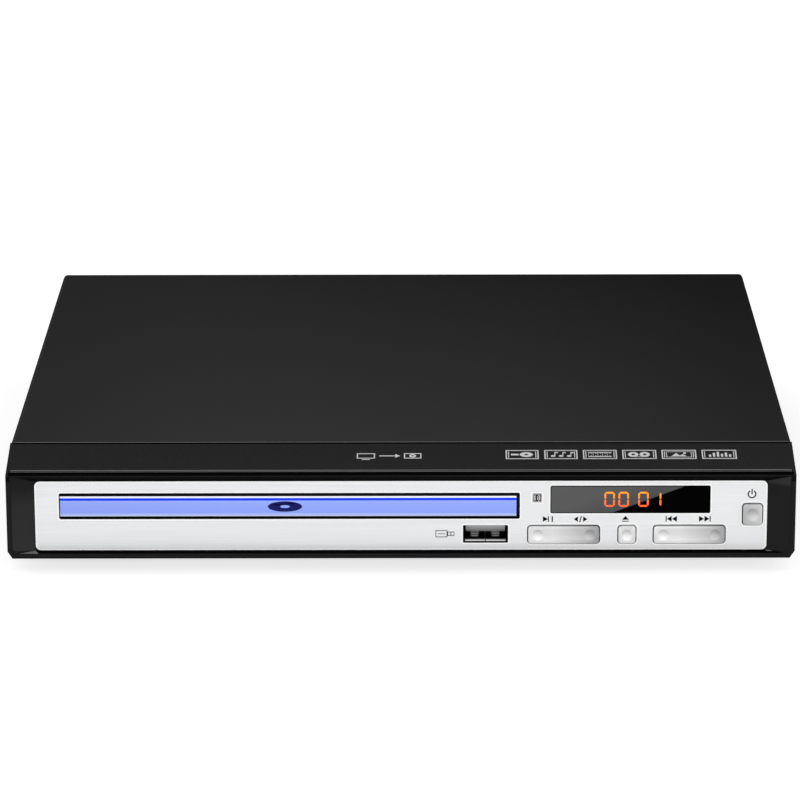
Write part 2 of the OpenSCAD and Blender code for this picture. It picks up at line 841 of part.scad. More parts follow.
// The cut-outs of the face: limits in x, limits in z
DOOR = [[door_x, door_x + door_w], [z0 + door_z, z0 + door_z + door_h]];
WINDOW = [[display_x, display_x + display_w], [z0 + display_z, z0 + display_z + display_h]];
PLAY = [[play_x, play_x + bar_w], [z0 + button_z, z0 + button_z + button_h]];
EJECT = [[eject_x, eject_x + eject_w], PLAY[1]];
SKIP = [[skip_x, skip_x + bar_w], PLAY[1]];
POWER = [[power_x, power_x + power_w], [z0 + power_z, z0 + power_z + power_h]];
USB = [[usb_x - usb_w / 2, usb_x + usb_w / 2], [z0 + usb_z, z0 + usb_z + usb_h]];
IR = [[ir_x, ir_x + ir_w], [z0 + ir_z, z0 + ir_z + ir_h]];
PANEL_Z = [z0 + panel_z, z0 + panel_z + panel_h];

module face_cut(s, y, g, r) {
  face_plate(grow(s[0], g), y, grow(s[1], g), r);
}

module button_cuts(y) {
  for (b = [PLAY, EJECT, SKIP, POWER]) face_cut(b, y, trim_gap, button_r + trim_gap);
}

// Lugs on the bezel that hold a rocker's pin
module rocker_lugs(bar) {
  mid = (bar[0][0] + bar[0][1]) / 2;
  above = bar[1][1] + trim_gap;
  for (z = [[bezel_floor - eps, bar[1][0] - trim_gap], [above, above + lug_t]]) {
    difference() {
      box(about(mid, 2), [inside_y - eps, pivot_y + 1.8], z);
      disc(pivot_r + pin_fit, [z[0] - 1, z[1] + 1], [mid, pivot_y]);
    }
  }
}

// Outline of the recess where it opens at the front rim
function recess_outline() =
  let (x = case_w / 2 - rim_w, low = z0 + sill_h, high = z0 + face_h - rim_h)
  concat(
    [[x, high], [-x, high]],
    arc_points([recess_r - x, low + recess_r], recess_r, 180, 270, 5),
    arc_points([x - recess_r, low + recess_r], recess_r, 270, 360, 5)
  );

module front_bezel() {
  rise = (body_h - face_h) / band_d;
  color("#1b1b1d") from_front() {
    difference() {
      union() {
        difference() {
          intersection() {
            side_profile([-case_w / 2, case_w / 2], [
              [0, z0], [0, z0 + face_h], [band_d, top_z], [band_d, z0]
            ]);
            translate([0, band_d + 1, 0]) rotate([90, 0, 0]) linear_extrude(band_d + 2) polygon([
              [-case_w / 2 + corner_cut[0], z0], [case_w / 2 - corner_cut[0], z0],
              [case_w / 2, z0 + corner_cut[1]], [case_w / 2, top_z],
              [-case_w / 2, top_z], [-case_w / 2, z0 + corner_cut[1]]
            ]);
          }
          side_profile([-bezel_in, bezel_in], [
            [inside_y, bezel_floor], [inside_y, z0 + face_h - bezel_wall + rise * inside_y],
            [band_d + 1, top_z - bezel_wall + rise], [band_d + 1, bezel_floor]
          ]);
        }
        for (b = BOSSES) bar_y(boss_r, [inside_y - eps, front_board_y], b[0], b[1]);
        for (x = [5 - bezel_in, 0]) {
          box(about(x, tab_half), [inside_y - eps, chassis_y], [bezel_floor - eps, bezel_floor + tab_h]);
        }
        both_sides() box([bezel_in - clip_t, bezel_in + eps], [front_board_y - 4, chassis_y + clip_reach],
          [floor_z + flange_h + seam, floor_z + side_h - seam]);
        for (x = [-1, 1]) {
          box(about(usb_x + x * usb_rib, usb_rib_t), [inside_y - eps, band_d - 1],
            [bezel_floor - eps, usb_floor - usb_board_t]);
        }
      }
      // The recess round the fascia panel
      hull() {
        rotate([90, 0, 0]) linear_extrude(1) polygon(recess_outline());
        box(grow([-panel_x, panel_x], fold_gap), [recess_d - eps, recess_d], grow(PANEL_Z, fold_gap));
      }
      face_plate(grow([-panel_x, panel_x], fold_gap), [recess_d - 1, wall_y], grow(PANEL_Z, fold_gap),
        panel_r);
      // The groove across the band
      translate([0, groove_y, z0 + face_h + groove_y * rise]) rotate([45, 0, 0]) {
        box(grow([-case_w / 2, case_w / 2], -groove_end), about(0, groove_w / 2), about(0, groove_w / 2));
      }
      face_cut(DOOR, [0, inside_y + 1], 0, 0.5);
      face_cut(WINDOW, [0, inside_y + 1], shoulder + fold_gap, 0.8);
      face_cut(IR, [0, inside_y + 1], 0, 0.2);
      box(about(usb_x, usb_shell_w / 2 + 0.2), [0, inside_y + 1],
        grow([usb_floor, usb_floor + usb_shell_h], 0.2));
      button_cuts([0, inside_y + 0.2]);
      for (b = BOSSES) bar_y(screw_shank + screw_fit, [inside_y + 0.5, front_board_y + 1], b[0], b[1]);
    }
    rocker_lugs(PLAY);
    rocker_lugs(SKIP);
  }
}

module fascia_panel() {
  y = [recess_d, wall_y];
  color("#c9cacc") from_front() difference() {
    face_plate([-panel_x, panel_x], y, PANEL_Z, panel_r);
    face_cut(DOOR, grow(y, 1), 0, 0.5);
    face_cut(WINDOW, grow(y, 1), fold_gap, 0.5);
    face_cut(IR, grow(y, 1), 0, 0.2);
    face_cut(USB, grow(y, 1), 0, 0.3);
    button_cuts(grow(y, 1));
  }
}

module display_window() {
  color("#18181a") from_front() union() {
    face_cut(WINDOW, [recess_d - 0.1, wall_y + eps], 0, 0.5);
    face_cut(WINDOW, [wall_y, wall_y + 1.2], shoulder, 0.8);
  }
}

module ir_window() {
  color("#120a0c") from_front() face_cut(IR, [recess_d - 0.05, inside_y + 0.4], -fold_gap, 0.2);
}

module tray_door() {
  z = grow(DOOR[1], -trim_gap);
  color("#8fa2f2") from_front() {
    side_profile(grow(DOOR[0], -trim_gap), [
      [tray_y, z[0]], [recess_d + door_bevel * 0.6, z[0]], [recess_d, z[0] + door_bevel],
      [recess_d, z[1] - door_bevel], [recess_d + door_bevel * 0.6, z[1]], [tray_y, z[1]]
    ]);
  }
}

// A button's cap with a round dished dimple at each place in dimples
module cap(s, y1, dimples, r) {
  mid = (s[0][0] + s[0][1]) / 2;
  dish = (r * r + dimple_t * dimple_t) / (2 * dimple_t);
  difference() {
    face_plate(s[0], [button_front, y1], s[1], button_r);
    for (x = dimples) {
      translate([mid + x, button_front + dimple_t - dish, (s[1][0] + s[1][1]) / 2]) sphere(r = dish);
    }
  }
}

// A bar that rocks on a pin, with a plunger behind each end
module rocker(bar) {
  mid = (bar[0][0] + bar[0][1]) / 2;
  back = inside_y + 0.5;
  union() {
    cap(bar, back, [-dimple_x, dimple_x], dimple_r);
    for (x = [-1, 1]) {
      box(about(mid + x * plunger_x, plunger / 2), [back - eps, tact_front - press],
        about(button_mid, plunger / 2));
    }
    box(about(mid, 1.6), [back - eps, pivot_y + 0.9], grow(bar[1], -0.4));
    disc(pivot_r, [bezel_floor + 0.1, bar[1][1] + trim_gap + lug_t], [mid, pivot_y]);
  }
}

module play_rocker() {
  color("#b9bbbf") from_front() rocker(PLAY);
}

module skip_rocker() {
  color("#b9bbbf") from_front() rocker(SKIP);
}

module eject_button() {
  mid = (EJECT[0][0] + EJECT[0][1]) / 2;
  color("#b9bbbf") from_front() union() {
    cap(EJECT, key_back + eps, [0], dimple_r);
    face_cut(EJECT, [key_back, key_back + flange_t], 0.8, button_r);
    box(about(mid, plunger / 2), [key_back + flange_t - eps, tact_front - press - 0.1],
      about(button_mid, plunger / 2));
  }
}

module power_button() {
  mid = (POWER[0][0] + POWER[0][1]) / 2;
  color("#b9bbbf") from_front() union() {
    cap(POWER, key_back + eps, [0], power_dimple_r);
    face_cut(POWER, [key_back, key_back + flange_t], 0.8, button_r);
    box(about(mid, plunger / 2), [key_back + flange_t - eps, switch_front + 2.4],
      about(power_mid, plunger / 2));
  }
}

// ---- Behind the face ----

module front_board() {
  color("#6b4f24") from_front() difference() {
    box([front_board_x0, front_board_x1], [front_board_y, front_board_y + usb_board_t],
      [bezel_floor + 0.3, front_board_top]);
    for (b = BOSSES) bar_y(screw_shank + screw_fit, [front_board_y - 1, front_board_y + 3], b[0], b[1]);
  }
}

module led_display() {
  s = [grow(WINDOW[0], -2.2), grow(WINDOW[1], -0.6)];
  color("#2a2a2c") from_front() box(s[0], [wall_y + 1.2, front_board_y], s[1]);
}

module tact_switches() {
  color("#c0c2c4") from_front() {
    for (x = [PLAY, SKIP]) {
      for (k = [-1, 1]) tact((x[0][0] + x[0][1]) / 2 + k * plunger_x);
    }
    tact((EJECT[0][0] + EJECT[0][1]) / 2);
  }
}

module tact(x) {
  union() {
    box(about(x, tact_w / 2), [tact_front + 0.7, front_board_y], about(button_mid, tact_w / 2));
    bar_y(1.75, [tact_front, tact_front + 0.7 + eps], x, button_mid);
  }
}

module power_switch() {
  mid = (POWER[0][0] + POWER[0][1]) / 2;
  color("#e0e0dc") from_front() difference() {
    box(about(mid, 4), [switch_front, front_board_y], about(power_mid, 4));
    box(about(mid, plunger / 2 + 0.35), [switch_front - 1, switch_front + 4.2],
      about(power_mid, plunger / 2 + 0.35));
  }
}

module ir_receiver() {
  mid = [ir_x + ir_w / 2, z0 + ir_z + ir_h / 2];
  color("#1a1416") from_front() union() {
    box(about(mid[0], 2.2), [inside_y + 2.5, front_board_y], [mid[1] - 3.4, mid[1] + 1.6]);
    bar_y(1.4, [inside_y + 1, inside_y + 2.5 + eps], mid[0], mid[1]);
  }
}

module usb_board() {
  color("#2f6a3a") from_front() {
    box(about(usb_x, 8.8), [inside_y + 0.4, band_d - 0.2], [usb_floor - usb_board_t, usb_floor]);
  }
}

module usb_shell() {
  y = [wall_y + fold_gap, wall_y + usb_shell_d];
  inner = usb_shell_w / 2 - usb_shell_t;
  low = usb_floor + usb_shell_t;
  color("#b4b6b9") from_front() union() {
    difference() {
      box(about(usb_x, usb_shell_w / 2), y, [usb_floor, usb_floor + usb_shell_h]);
      box(about(usb_x, inner), [y[0] - 1, y[1] - usb_shell_t], [low, usb_floor + usb_shell_h - usb_shell_t]);
      // The windows of the springs and the seam between them
      for (x = [-1, 1]) {
        box(about(usb_x + x * spring_x, spring_w / 2 + 0.3), [y[0] + 4, y[0] + 9],
          [usb_floor - 1, low + eps]);
      }
      box(about(usb_x, 0.1), [y[0] - 1, y[0] + 10], [usb_floor - 1, low + eps]);
    }
    for (x = [-1, 1]) {
      bent_strip(about(usb_x + x * spring_x, spring_w / 2), [
        [y[0] + 3, low], [y[0] + 4.2, low],
        [y[0] + 7.4, low + spring_lift], [y[0] + 8.6, low + spring_lift / 2]
      ], usb_shell_t);
    }
  }
}

module usb_tongue() {
  y = [wall_y + 1.6, wall_y + usb_shell_d - usb_shell_t];
  z1 = usb_floor + usb_shell_h - usb_shell_t - 0.7;
  color("#141416") from_front() {
    union() {
      box(about(usb_x, tongue_half), y, [z1 - tongue_h, z1]);
      box(about(usb_x, usb_shell_w / 2 - usb_shell_t), [y[1] - 2.2, y[1]],
        [usb_floor + usb_shell_t, usb_floor + usb_shell_h - usb_shell_t]);
    }
  }
}

// ---- The loader ----

module loader_frame() {
  wall_x = [guide_x, loader_half];
  color("#2b2c2f") in_loader() difference() {
    union() {
      box([-loader_half, loader_half], [loader_y, loader_end], [loader_z, deck_z]);
      both_sides() {
        box(wall_x, [loader_y, loader_end], [loader_z, loader_top]);
        box([ledge_x, guide_x + eps], [loader_y, loader_end - loader_wall],
          [tray_z - guide_gap - ledge_t, tray_z - guide_gap]);
        for (y = [loader_y, disc_y - 6, hinge_y - 16]) {
          box([tab_x, guide_x + eps], [y, y + 12],
            [tray_z + tongue_t + guide_gap, tray_z + tongue_t + guide_gap + ledge_t]);
        }
        for (y = EARS) {
          box([loader_half - eps, ear_x], about(y, ear_w / 2), [loader_z, loader_z + ear_t]);
        }
        box([lug_x, lug_x + lug_w], about(hinge_y, 4), [deck_z - eps, axis_z + hinge_r + 1.6]);
      }
      box(about(0, loader_half), [loader_end - loader_wall, loader_end], [loader_z, tray_z - guide_gap]);
      disc(gear_post + 1.6, [deck_z - eps, wheel_z - 0.1], [gear_x, gear_y]);
      disc(gear_post, [deck_z - eps, small_z], [gear_x, gear_y]);
      disc(pulley_post + 1.2, [deck_z - eps, wheel_z - 0.1], [pulley_x, gear_y]);
      disc(pulley_post, [deck_z - eps, small_z], [pulley_x, gear_y]);
      for (x = [-8, cam_x1 - 5]) {
        side_profile(about(x, 3), [
          [cam_foot_y - 2.4, deck_z - eps], [cam_foot_y - 0.4, deck_z - eps],
          [cam_foot_y - 0.4, hook_z], [cam_foot_y + 2.2, hook_z],
          [cam_foot_y + 2.2, hook_z + 1], [cam_foot_y - 2.4, hook_z + 1]
        ]);
      }
    }
    box([-opening_x, opening_x], [opening_y0, traverse_y1 + 1.5], [loader_z - 1, deck_z + eps]);
    box([-cam_bay, cam_bay], [opening_y0, traverse_y0 + 1], [loader_z - 1, deck_z + eps]);
    both_sides() for (y = EARS) disc(ear_hole, [loader_z - 1, loader_z + ear_t + 1], [ear_x - ear_w / 2, y]);
    both_sides() bar_x(hinge_r + hinge_fit, [lug_x - 1, lug_x + lug_w + 1], hinge_y, axis_z);
    both_sides() {
      box([guide_x - 8, guide_x - eps], [loader_y - 1, loader_y + 5], [loader_z - 1, deck_z + eps]);
    }
  }
}

module loader_dampers() {
  hole = screw_shank + 0.3;
  color("#3a3a3c") in_loader() both_sides() for (y = EARS) translate([ear_x - ear_w / 2, y, 0]) {
    rotate_extrude() polygon([
      [hole, floor_z], [ear_hole + 0.6, floor_z], [ear_hole + 0.6, loader_z],
      [ear_hole - fold_gap, loader_z], [ear_hole - fold_gap, loader_z + ear_t],
      [ear_hole + 0.6, loader_z + ear_t], [ear_hole + 0.6, damper_top], [hole, damper_top]
    ]);
  }
}

module loader_screws() {
  color("#b9bbbd") in_loader() both_sides() for (y = EARS) {
    deck_screw([ear_x - ear_w / 2, y], damper_top, damper_top - z0 - 0.2);
  }
}

module disc_tray() {
  y1 = disc_y + pocket_r + tray_skin;
  corner = pocket_r * 0.72;
  color("#232326") in_loader() union() {
    difference() {
      union() {
        box([-tray_x, tray_x], [tray_y, y1], [tray_z, tray_top]);
        box(about(0, tray_x + tongue_w), [tray_y + 1.5, tray_end], [tray_z, tray_z + tongue_t]);
      }
      disc(pocket_r, [pocket_floor, tray_top + 1], [0, disc_y]);
      disc(small_d / 2 + pocket_gap, [pocket_floor - small_step, tray_top], [0, disc_y]);
      disc(slot_x, [tray_z - 1, tray_top + 1], [0, disc_y]);
      box([-slot_x, slot_x], [disc_y, tray_end + 1], [tray_z - 1, tray_top + 1]);
      both_sides() {
        disc(scoop_r, [pocket_floor, tray_top + 1], [pocket_r * sin(33), disc_y - pocket_r * cos(33) + 1]);
        for (y = [[tray_y + tray_skin, disc_y - corner], [disc_y + corner, y1 - tray_skin]]) {
          box([corner, tray_x - tray_skin], y, [tray_z + tongue_t, tray_top - tray_skin]);
        }
        box([slot_x + 6, rack_x - 2], [y1 + 4, tray_end - 5], [tray_z - 1, tray_top]);
      }
    }
    translate([0, 0, rack_z]) linear_extrude(rack_h + eps) polygon(rack_points());
  }
}

module loading_motor() {
  color("#a7a9ab") in_loader() union() {
    disc(motor_r, [deck_z, deck_z + motor_h], [motor_x, gear_y]);
    disc(3, [deck_z + motor_h - eps, deck_z + motor_h + 0.4], [motor_x, gear_y]);
    disc(shaft_r, [deck_z + motor_h - eps, small_z], [motor_x, gear_y]);
  }
}

// The solid of a grooved pulley
module pulley(r, z) {
  edge = 0.4;
  translate([0, 0, z[0]]) rotate_extrude() let (h = z[1] - z[0]) polygon([
    [0, 0], [r + pulley_flange, 0], [r + pulley_flange, edge], [r, edge + 0.4],
    [r, h - edge - 0.4], [r + pulley_flange, h - edge], [r + pulley_flange, h], [0, h]
  ]);
}

module motor_pulley() {
  color("#d8d4c4") in_loader() translate([motor_x, gear_y, 0]) difference() {
    pulley(motor_pulley_r, [small_z - pulley_t, small_z]);
    disc(shaft_r + pin_fit, [small_z - pulley_t - 1, small_z + 1]);
  }
}

// A loop round both pulleys, at a distance of g from their grooves
module belt_loop(g) {
  span = motor_x - pulley_x;
  a = acos((pulley_r - motor_pulley_r) / span);
  polygon(concat(
    arc_points([0, 0], pulley_r + g, a, 360 - a, 36),
    arc_points([span, 0], motor_pulley_r + g, -a, a, 12)
  ));
}

module drive_belt() {
  mid = small_z - pulley_t / 2;
  color("#151515") in_loader() translate([pulley_x, gear_y, mid - 0.4]) linear_extrude(0.8) difference() {
    belt_loop(belt_gap + belt_t);
    belt_loop(belt_gap);
  }
}

module pulley_gear() {
  color("#e6e2d6") in_loader() translate([pulley_x, gear_y, 0]) difference() {
    union() {
      gear(pinion_teeth, wheel_m, [wheel_z, small_z - pulley_t + eps], 180 / pinion_teeth);
      pulley(pulley_r, [small_z - pulley_t, small_z]);
    }
    disc(pulley_post + pin_fit, [wheel_z - 1, small_z + 1]);
  }
}

module drive_gear() {
  color("#e6e2d6") in_loader() translate([gear_x, gear_y, 0]) difference() {
    union() {
      gear(wheel_teeth, wheel_m, [wheel_z, wheel_z + wheel_t]);
      gear(rack_teeth, rack_m, [wheel_z + wheel_t - eps, small_z]);
    }
    disc(gear_post + pin_fit, [wheel_z - 1, small_z + 1]);
    for (a = [0:60:300]) {
      disc(2.2, [wheel_z - 1, wheel_z + wheel_t + 1], 12.6 * [cos(a + 30), sin(a + 30)]);
    }
  }
}

module clamp_bridge() {
  ring = bridge_hole + 5;
  rib_z = bridge_z + 3.4;
  color("#2b2c2f") in_loader() difference() {
    union() {
      box(about(0, loader_half), about(disc_y, bridge_half), [bridge_z, bridge_z + bridge_t]);
      both_sides() box([guide_x, loader_half], about(disc_y, bridge_half), [loader_top, bridge_z + eps]);
      for (y = [-1, 1]) {
        box(about(0, loader_half), about(disc_y + y * (bridge_half - 1), 0.8), [bridge_z, rib_z]);
      }
      disc(ring, [bridge_z, rib_z], [0, disc_y]);
    }
    disc(ring - 1, [bridge_z + bridge_t, bridge_z + 5], [0, disc_y]);
    disc(bridge_hole, [bridge_z - 1, bridge_z + 5], [0, disc_y]);
    for (x = [-1, 1]) disc(1.4, [loader_top - 1, bridge_z + 5], [x * (guide_x - 5), disc_y]);
  }
}

module clamp_puck() {
  lip_z = bridge_z + bridge_t + puck_free;
  top = lip_z + puck_lip;
  r = turntable_r;
  color("#dcdcd8") in_loader() translate([0, disc_y, 0]) rotate_extrude() polygon([
    [0, puck_z + 1.8], [hub_r + 1, puck_z + 1.8], [hub_r + 1.6, puck_z + 0.8], [r - 2.6, puck_z + 0.8],
    [r - 2.2, puck_z], [r, puck_z], [r, lip_z],
    [r + puck_flange, lip_z], [r + puck_flange, top], [plate_r + pin_fit, top],
    [plate_r + pin_fit, top - plate_t], [0, top - plate_t]
  ]);
}

module clamp_plate() {
  top = bridge_z + bridge_t + puck_free + puck_lip;
  color("#9b9da0") in_loader() disc(plate_r, [top - plate_t, top - 0.1], [0, disc_y]);
}

// ---- The traverse ----

// A slot for a cam pin, falling towards -x over the slider's travel
module cam_slot(x) {
  r = cam_pin_r + cam_gap;
  slope = atan2(pin_drop, cam_travel);
  bar_y(r, [cam_y - 1, cam_y + cam_t + 1], x, pin_z);
  bar_y(r, [cam_y - 1, cam_y + cam_t + 1], x - cam_travel, pin_z - pin_drop);
  translate([x, 0, pin_z]) rotate([0, -slope, 0]) {
    box([-norm([cam_travel, pin_drop]), 0], [cam_y - 1, cam_y + cam_t + 1], [-r, r]);
  }
}

module cam_slider() {
  color("#e9e7df") in_loader() difference() {
    union() {
      box([cam_x0, cam_x1], [cam_y, cam_y + cam_t], [cam_z0, cam_z1]);
      box([cam_x0 + 12, cam_x1], [cam_foot_y, cam_y + eps], [deck_z + guide_gap, hook_z - guide_gap]);
    }
    cam_slot(cam_pin_x);
    cam_slot(-cam_pin_x);
  }
}

module traverse_frame() {
  color("#c5c7c9") in_loader() difference() {
    union() {
      box([-traverse_x, traverse_x], [traverse_y0, traverse_y1], [traverse_z, traverse_z + traverse_t]);
      both_sides() {
        bar_x(hinge_r, [traverse_x - 4, lug_x + lug_w], hinge_y, axis_z);
        box([traverse_x - 4, traverse_x], [hinge_y - 2.5, traverse_y1], [axis_z - 2, axis_z + 2]);
        bar_y(cam_pin_r, [cam_y - 0.6, traverse_y0 + 1], cam_pin_x, pin_z);
        box(about(cam_pin_x, 2.5), [traverse_y0, traverse_y0 + 3], [traverse_z, pin_z + 1.6]);
        for (y = [bay_y0 - rod_block, bay_y1]) {
          box(about(rod_x, rod_r + 1.6), [y, y + rod_block], about(axis_z, block_half));
        }
        box([traverse_x - 1.2, traverse_x], [traverse_y0, traverse_y1],
          [traverse_z, traverse_z + traverse_t + 1.4]);
      }
      box(about(screw_x, stepper_r + 1.4), [bay_y1 + rod_block, bay_y1 + rod_block + stepper_d - 2],
        [axis_z - block_half, axis_z]);
      box(about(screw_x, screw_r + 1.6), [bay_y0 - rod_block, bay_y0], about(axis_z, block_half));
    }
    disc(spindle_r + fold_gap, [traverse_z - 1, traverse_z + 3], [0, disc_y]);
    box([-sled_half - bay_gap, bay_x1], [bay_y0, bay_y1], [traverse_z - 3, traverse_z + 5]);
    both_sides() bar_y(rod_r + pin_fit, [bay_y0 - rod_block + 0.8, bay_y1 + rod_block - 0.8], rod_x, axis_z);
    bar_y(screw_r + rod_fit, [bay_y0 - rod_block + 0.8, bay_y1 + rod_block + 1], screw_x, axis_z);
    bar_y(stepper_r + pin_fit, [bay_y1 + rod_block - eps, traverse_y1 + 5], screw_x, axis_z);
  }
}

module guide_rods() {
  color("#d5d7d9") in_loader() both_sides() {
    bar_y(rod_r, [bay_y0 - rod_block + 0.9, bay_y1 + rod_block - 0.9], rod_x, axis_z);
  }
}

module spindle_motor() {
  top = disc_z - table_t - 0.4;
  color("#a7a9ab") in_loader() translate([0, disc_y, 0]) difference() {
    union() {
      disc(spindle_r, [traverse_z, top]);
      disc(spindle_r + 1.8, [traverse_z + traverse_t, traverse_z + traverse_t + 0.8]);
    }
    disc(1 + pin_fit, [traverse_z + 1, top + 1]);
  }
}

module turntable() {
  color("#26272a") in_loader() translate([0, disc_y, 0]) rotate_extrude() polygon([
    [0, traverse_z + 1.2], [1, traverse_z + 1.2], [1, disc_z - table_t],
    [turntable_r - 1.5, disc_z - table_t], [turntable_r, disc_z - table_t + 0.8], [turntable_r, disc_z],
    [hub_r, disc_z], [hub_r, hub_top - 0.9],
    [hub_r - 1.2, hub_top], [2, hub_top], [1.6, hub_top - 0.6], [0, hub_top - 0.6]
  ]);
}

module sled_motor() {
  color("#b2b4b6") in_loader() difference() {
    bar_y(stepper_r, [bay_y1 + rod_block, bay_y1 + rod_block + stepper_d], screw_x, axis_z);
    bar_y(screw_r + rod_fit, [bay_y1 + rod_block - 1, bay_y1 + rod_block + 5], screw_x, axis_z);
  }
}

module lead_screw() {
  color("#c9b98a") in_loader() {
    bar_y(screw_r, [bay_y0 - rod_block + 0.9, bay_y1 + rod_block + 4], screw_x, axis_z);
  }
}

module pickup_sled() {
  wing = [sled_y0 + 2, sled_y1 - 2.5];
  color("#8f9295") in_loader() difference() {
    union() {
      box([-15, 15], [sled_y0, sled_y1], [sled_z, tray_z - 1.7]);
      box([-sled_half, sled_half], wing, [axis_z - 2.3, axis_z + 2.3]);
      box([sled_half - eps, screw_x + screw_r + 1.4], [lens_y - 3, lens_y + 5], [axis_z - 2.3, axis_z + 2.3]);
    }
    both_sides() bar_y(rod_r + rod_fit, [sled_y0 - 1, sled_y1 + 1], rod_x, axis_z);
    bar_y(screw_r + rod_fit, [sled_y0 - 1, sled_y1 + 1], screw_x, axis_z);
    box([-10, 10], [lens_y - 6, lens_y + 9], [yoke_z, tray_z]);
    both_sides() box([16.5, rod_x - rod_r - 1.4], [wing[0] + 2, wing[1] - 2], [axis_z - 3, axis_z + 0.8]);
  }
}

module lens_yoke() {
  open = lens_half + 0.5;
  color("#4b4c50") in_loader() difference() {
    box([-9.9, 9.9], [lens_y - 5.9, lens_y + 8.9], [yoke_z, tray_z - 0.9]);
    box([-open, open], [lens_y - open, lens_y + open], [yoke_z - 1, tray_z]);
    both_sides() box([lens_half + 1.6, 8.6], [lens_y - open, lens_y + open], [yoke_z + 0.8, tray_z]);
  }
}

module lens_holder() {
  color("#1d2a3c") in_loader() translate([0, lens_y, 0]) union() {
    box([-lens_half, lens_half], [-lens_half, lens_half], [yoke_z + 1, tray_z + 0.3]);
    translate([0, 0, tray_z + 0.3 - eps]) rotate_extrude() polygon([
      [0, 0], [lens_r + 0.5, 0], [lens_r + 0.5, 0.5], [lens_r, 0.6],
      [lens_r * 0.8, 0.85], [lens_r * 0.45, 1.05], [0, 1.12]
    ]);
  }
}

// ---- The boards ----

module main_board() {
  color("#2f6a3a") from_front() difference() {
    translate([0, 0, board_z]) linear_extrude(board_t) polygon([
      [column_x0, main_y0], [main_x1, main_y0], [main_x1, main_y1],
      [main_x0, main_y1], [main_x0, tail_y0], [column_x0, tail_y0]
    ]);
    for (p = STANDOFFS) disc(screw_shank + screw_fit, [board_z - 1, board_top + 1], p);
  }
}

module main_chips() {
  color("#1c1c1e") from_front() {
    chip([chip_x - chip_w / 2, chip_y - chip_w / 2], [chip_w, chip_w, chip_h]);
    chip([chip_x - chip_w / 2, chip_y + chip_w / 2 + 2 * part_gap], memory_size);
    chip([chip_x + 1 + 2 * part_gap, chip_y + chip_w / 2 + 3 * part_gap], driver_size);
    chip([chip_x - chip_w / 2, chip_y - chip_w / 2 - 2 * part_gap - driver_size[1]], driver_size);
    for (k = [0:2]) {
      disc(coupling_r, [board_top, board_top + coupling_h],
        [main_x0 + 14 + k * coupling_pitch, tail_y0 + coupling_r + 1]);
    }
  }
}

// A chip's body with its lower left corner at p
module chip(p, size) {
  deck_plate([p[0], p[0] + size[0]], [p[1], p[1] + size[1]], [board_top, board_top + size[2]], 0.4);
}

module board_connectors() {
  color("#e8e4d8") from_front() {
    box([main_x1 - 10, main_x1 - 2], [main_y0 + 9, main_y0 + 14], [board_top, board_top + ribbon_plug]);
    for (y = [main_y0 + 2, power_y1 - 2 - plug_d]) {
      box([plug_x, plug_x + plug_w], [y, y + plug_d], [board_top, board_top + plug_h]);
    }
    box([column_x0 + 2, column_x0 + 7], [main_y0 + 24, main_y0 + 46], [board_top, board_top + 2.4]);
    box([main_x1 - 10, main_x1 - 2], [front_board_y + usb_board_t, ribbon_y], about(ribbon_z, 2.5));
    box(about(mains_block_x, 5), [mains_block_y - 6, mains_block_y], [board_top, inlet_z + wire_w / 2 + 0.6]);
  }
}

module hdmi_socket() {
  y = [main_y1 - hdmi_d, case_d - sheet_t + 0.3];
  mouth = [y[0] + 2, y[1] + 1];
  z = grow([board_top, board_top + hdmi_h], -hdmi_t);
  color("#b4b6b9") from_front() difference() {
    box(about(hdmi_x, hdmi_w / 2), y, [board_top, board_top + hdmi_h]);
    box(about(hdmi_x, hdmi_w / 2 - hdmi_t), mouth, [z[0] + 1, z[1]]);
    box(about(hdmi_x, hdmi_w / 2 - hdmi_t - 1.5), mouth, z);
  }
}

// The middle of each AV jack
module at_jacks() {
  from_front() for (k = JACKS) translate([jack_x + k * jack_pitch, 0, jack_mid]) children();
}

module av_jack_block() {
  y = rear_y - 0.3;
  color("#1a1a1c") at_jacks() difference() {
    box(about(0, jack_body / 2), [y - jack_depth, y], [board_top - jack_mid, jack_body / 2]);
    bar_y(jack_bore, [rear_y - 9, rear_y], 0, 0);
  }
}

module av_jack_shells() {
  color("#c2c4c6") at_jacks() difference() {
    union() {
      bar_y(jack_r + 0.5, [rear_y - 0.3, case_d - sheet_t + fold_gap], 0, 0);
      bar_y(jack_r, [rear_y, case_d + jack_out], 0, 0);
    }
    bar_y(jack_r - jack_wall, [rear_y - 1, case_d + jack_out + 1], 0, 0);
  }
}

module av_jack_inserts() {
  color("#e8c22a") at_jacks() difference() {
    bar_y(jack_r - jack_wall - pin_fit, [rear_y - 0.3, case_d + jack_out - 0.8], 0, 0);
    bar_y(jack_bore, [rear_y - 1, case_d + jack_out + 1], 0, 0);
  }
}

module mains_inlet() {
  y = [case_d - sheet_t - inlet_d, case_d - sheet_t];
  color("#18181a") from_front() difference() {
    union() {
      box(about(inlet_x, inlet_w / 2), y, about(inlet_z, inlet_h / 2));
      face_plate(about(inlet_x, inlet_w / 2 + 1.5), [y[1], y[1] + inlet_lip],
        about(inlet_z, inlet_h / 2 + 1.5), 1.5);
    }
    face_plate(about(inlet_x, inlet_cavity_w / 2), [y[0] + 4, y[1] + inlet_lip + 1],
      about(inlet_z, inlet_cavity_h / 2), inlet_cavity_h / 2 - 0.4);
    for (x = [-1, 1]) bar_y(pin_r + pin_fit, [y[0] - 1, y[1]], inlet_x + x * pin_gap / 2, inlet_z);
  }
}

module inlet_pins() {
  y = [case_d - sheet_t - inlet_d - 2, case_d - sheet_t - 3];
  color("#c2c4c6") from_front() for (x = [-1, 1]) bar_y(pin_r, y, inlet_x + x * pin_gap / 2, inlet_z);
}

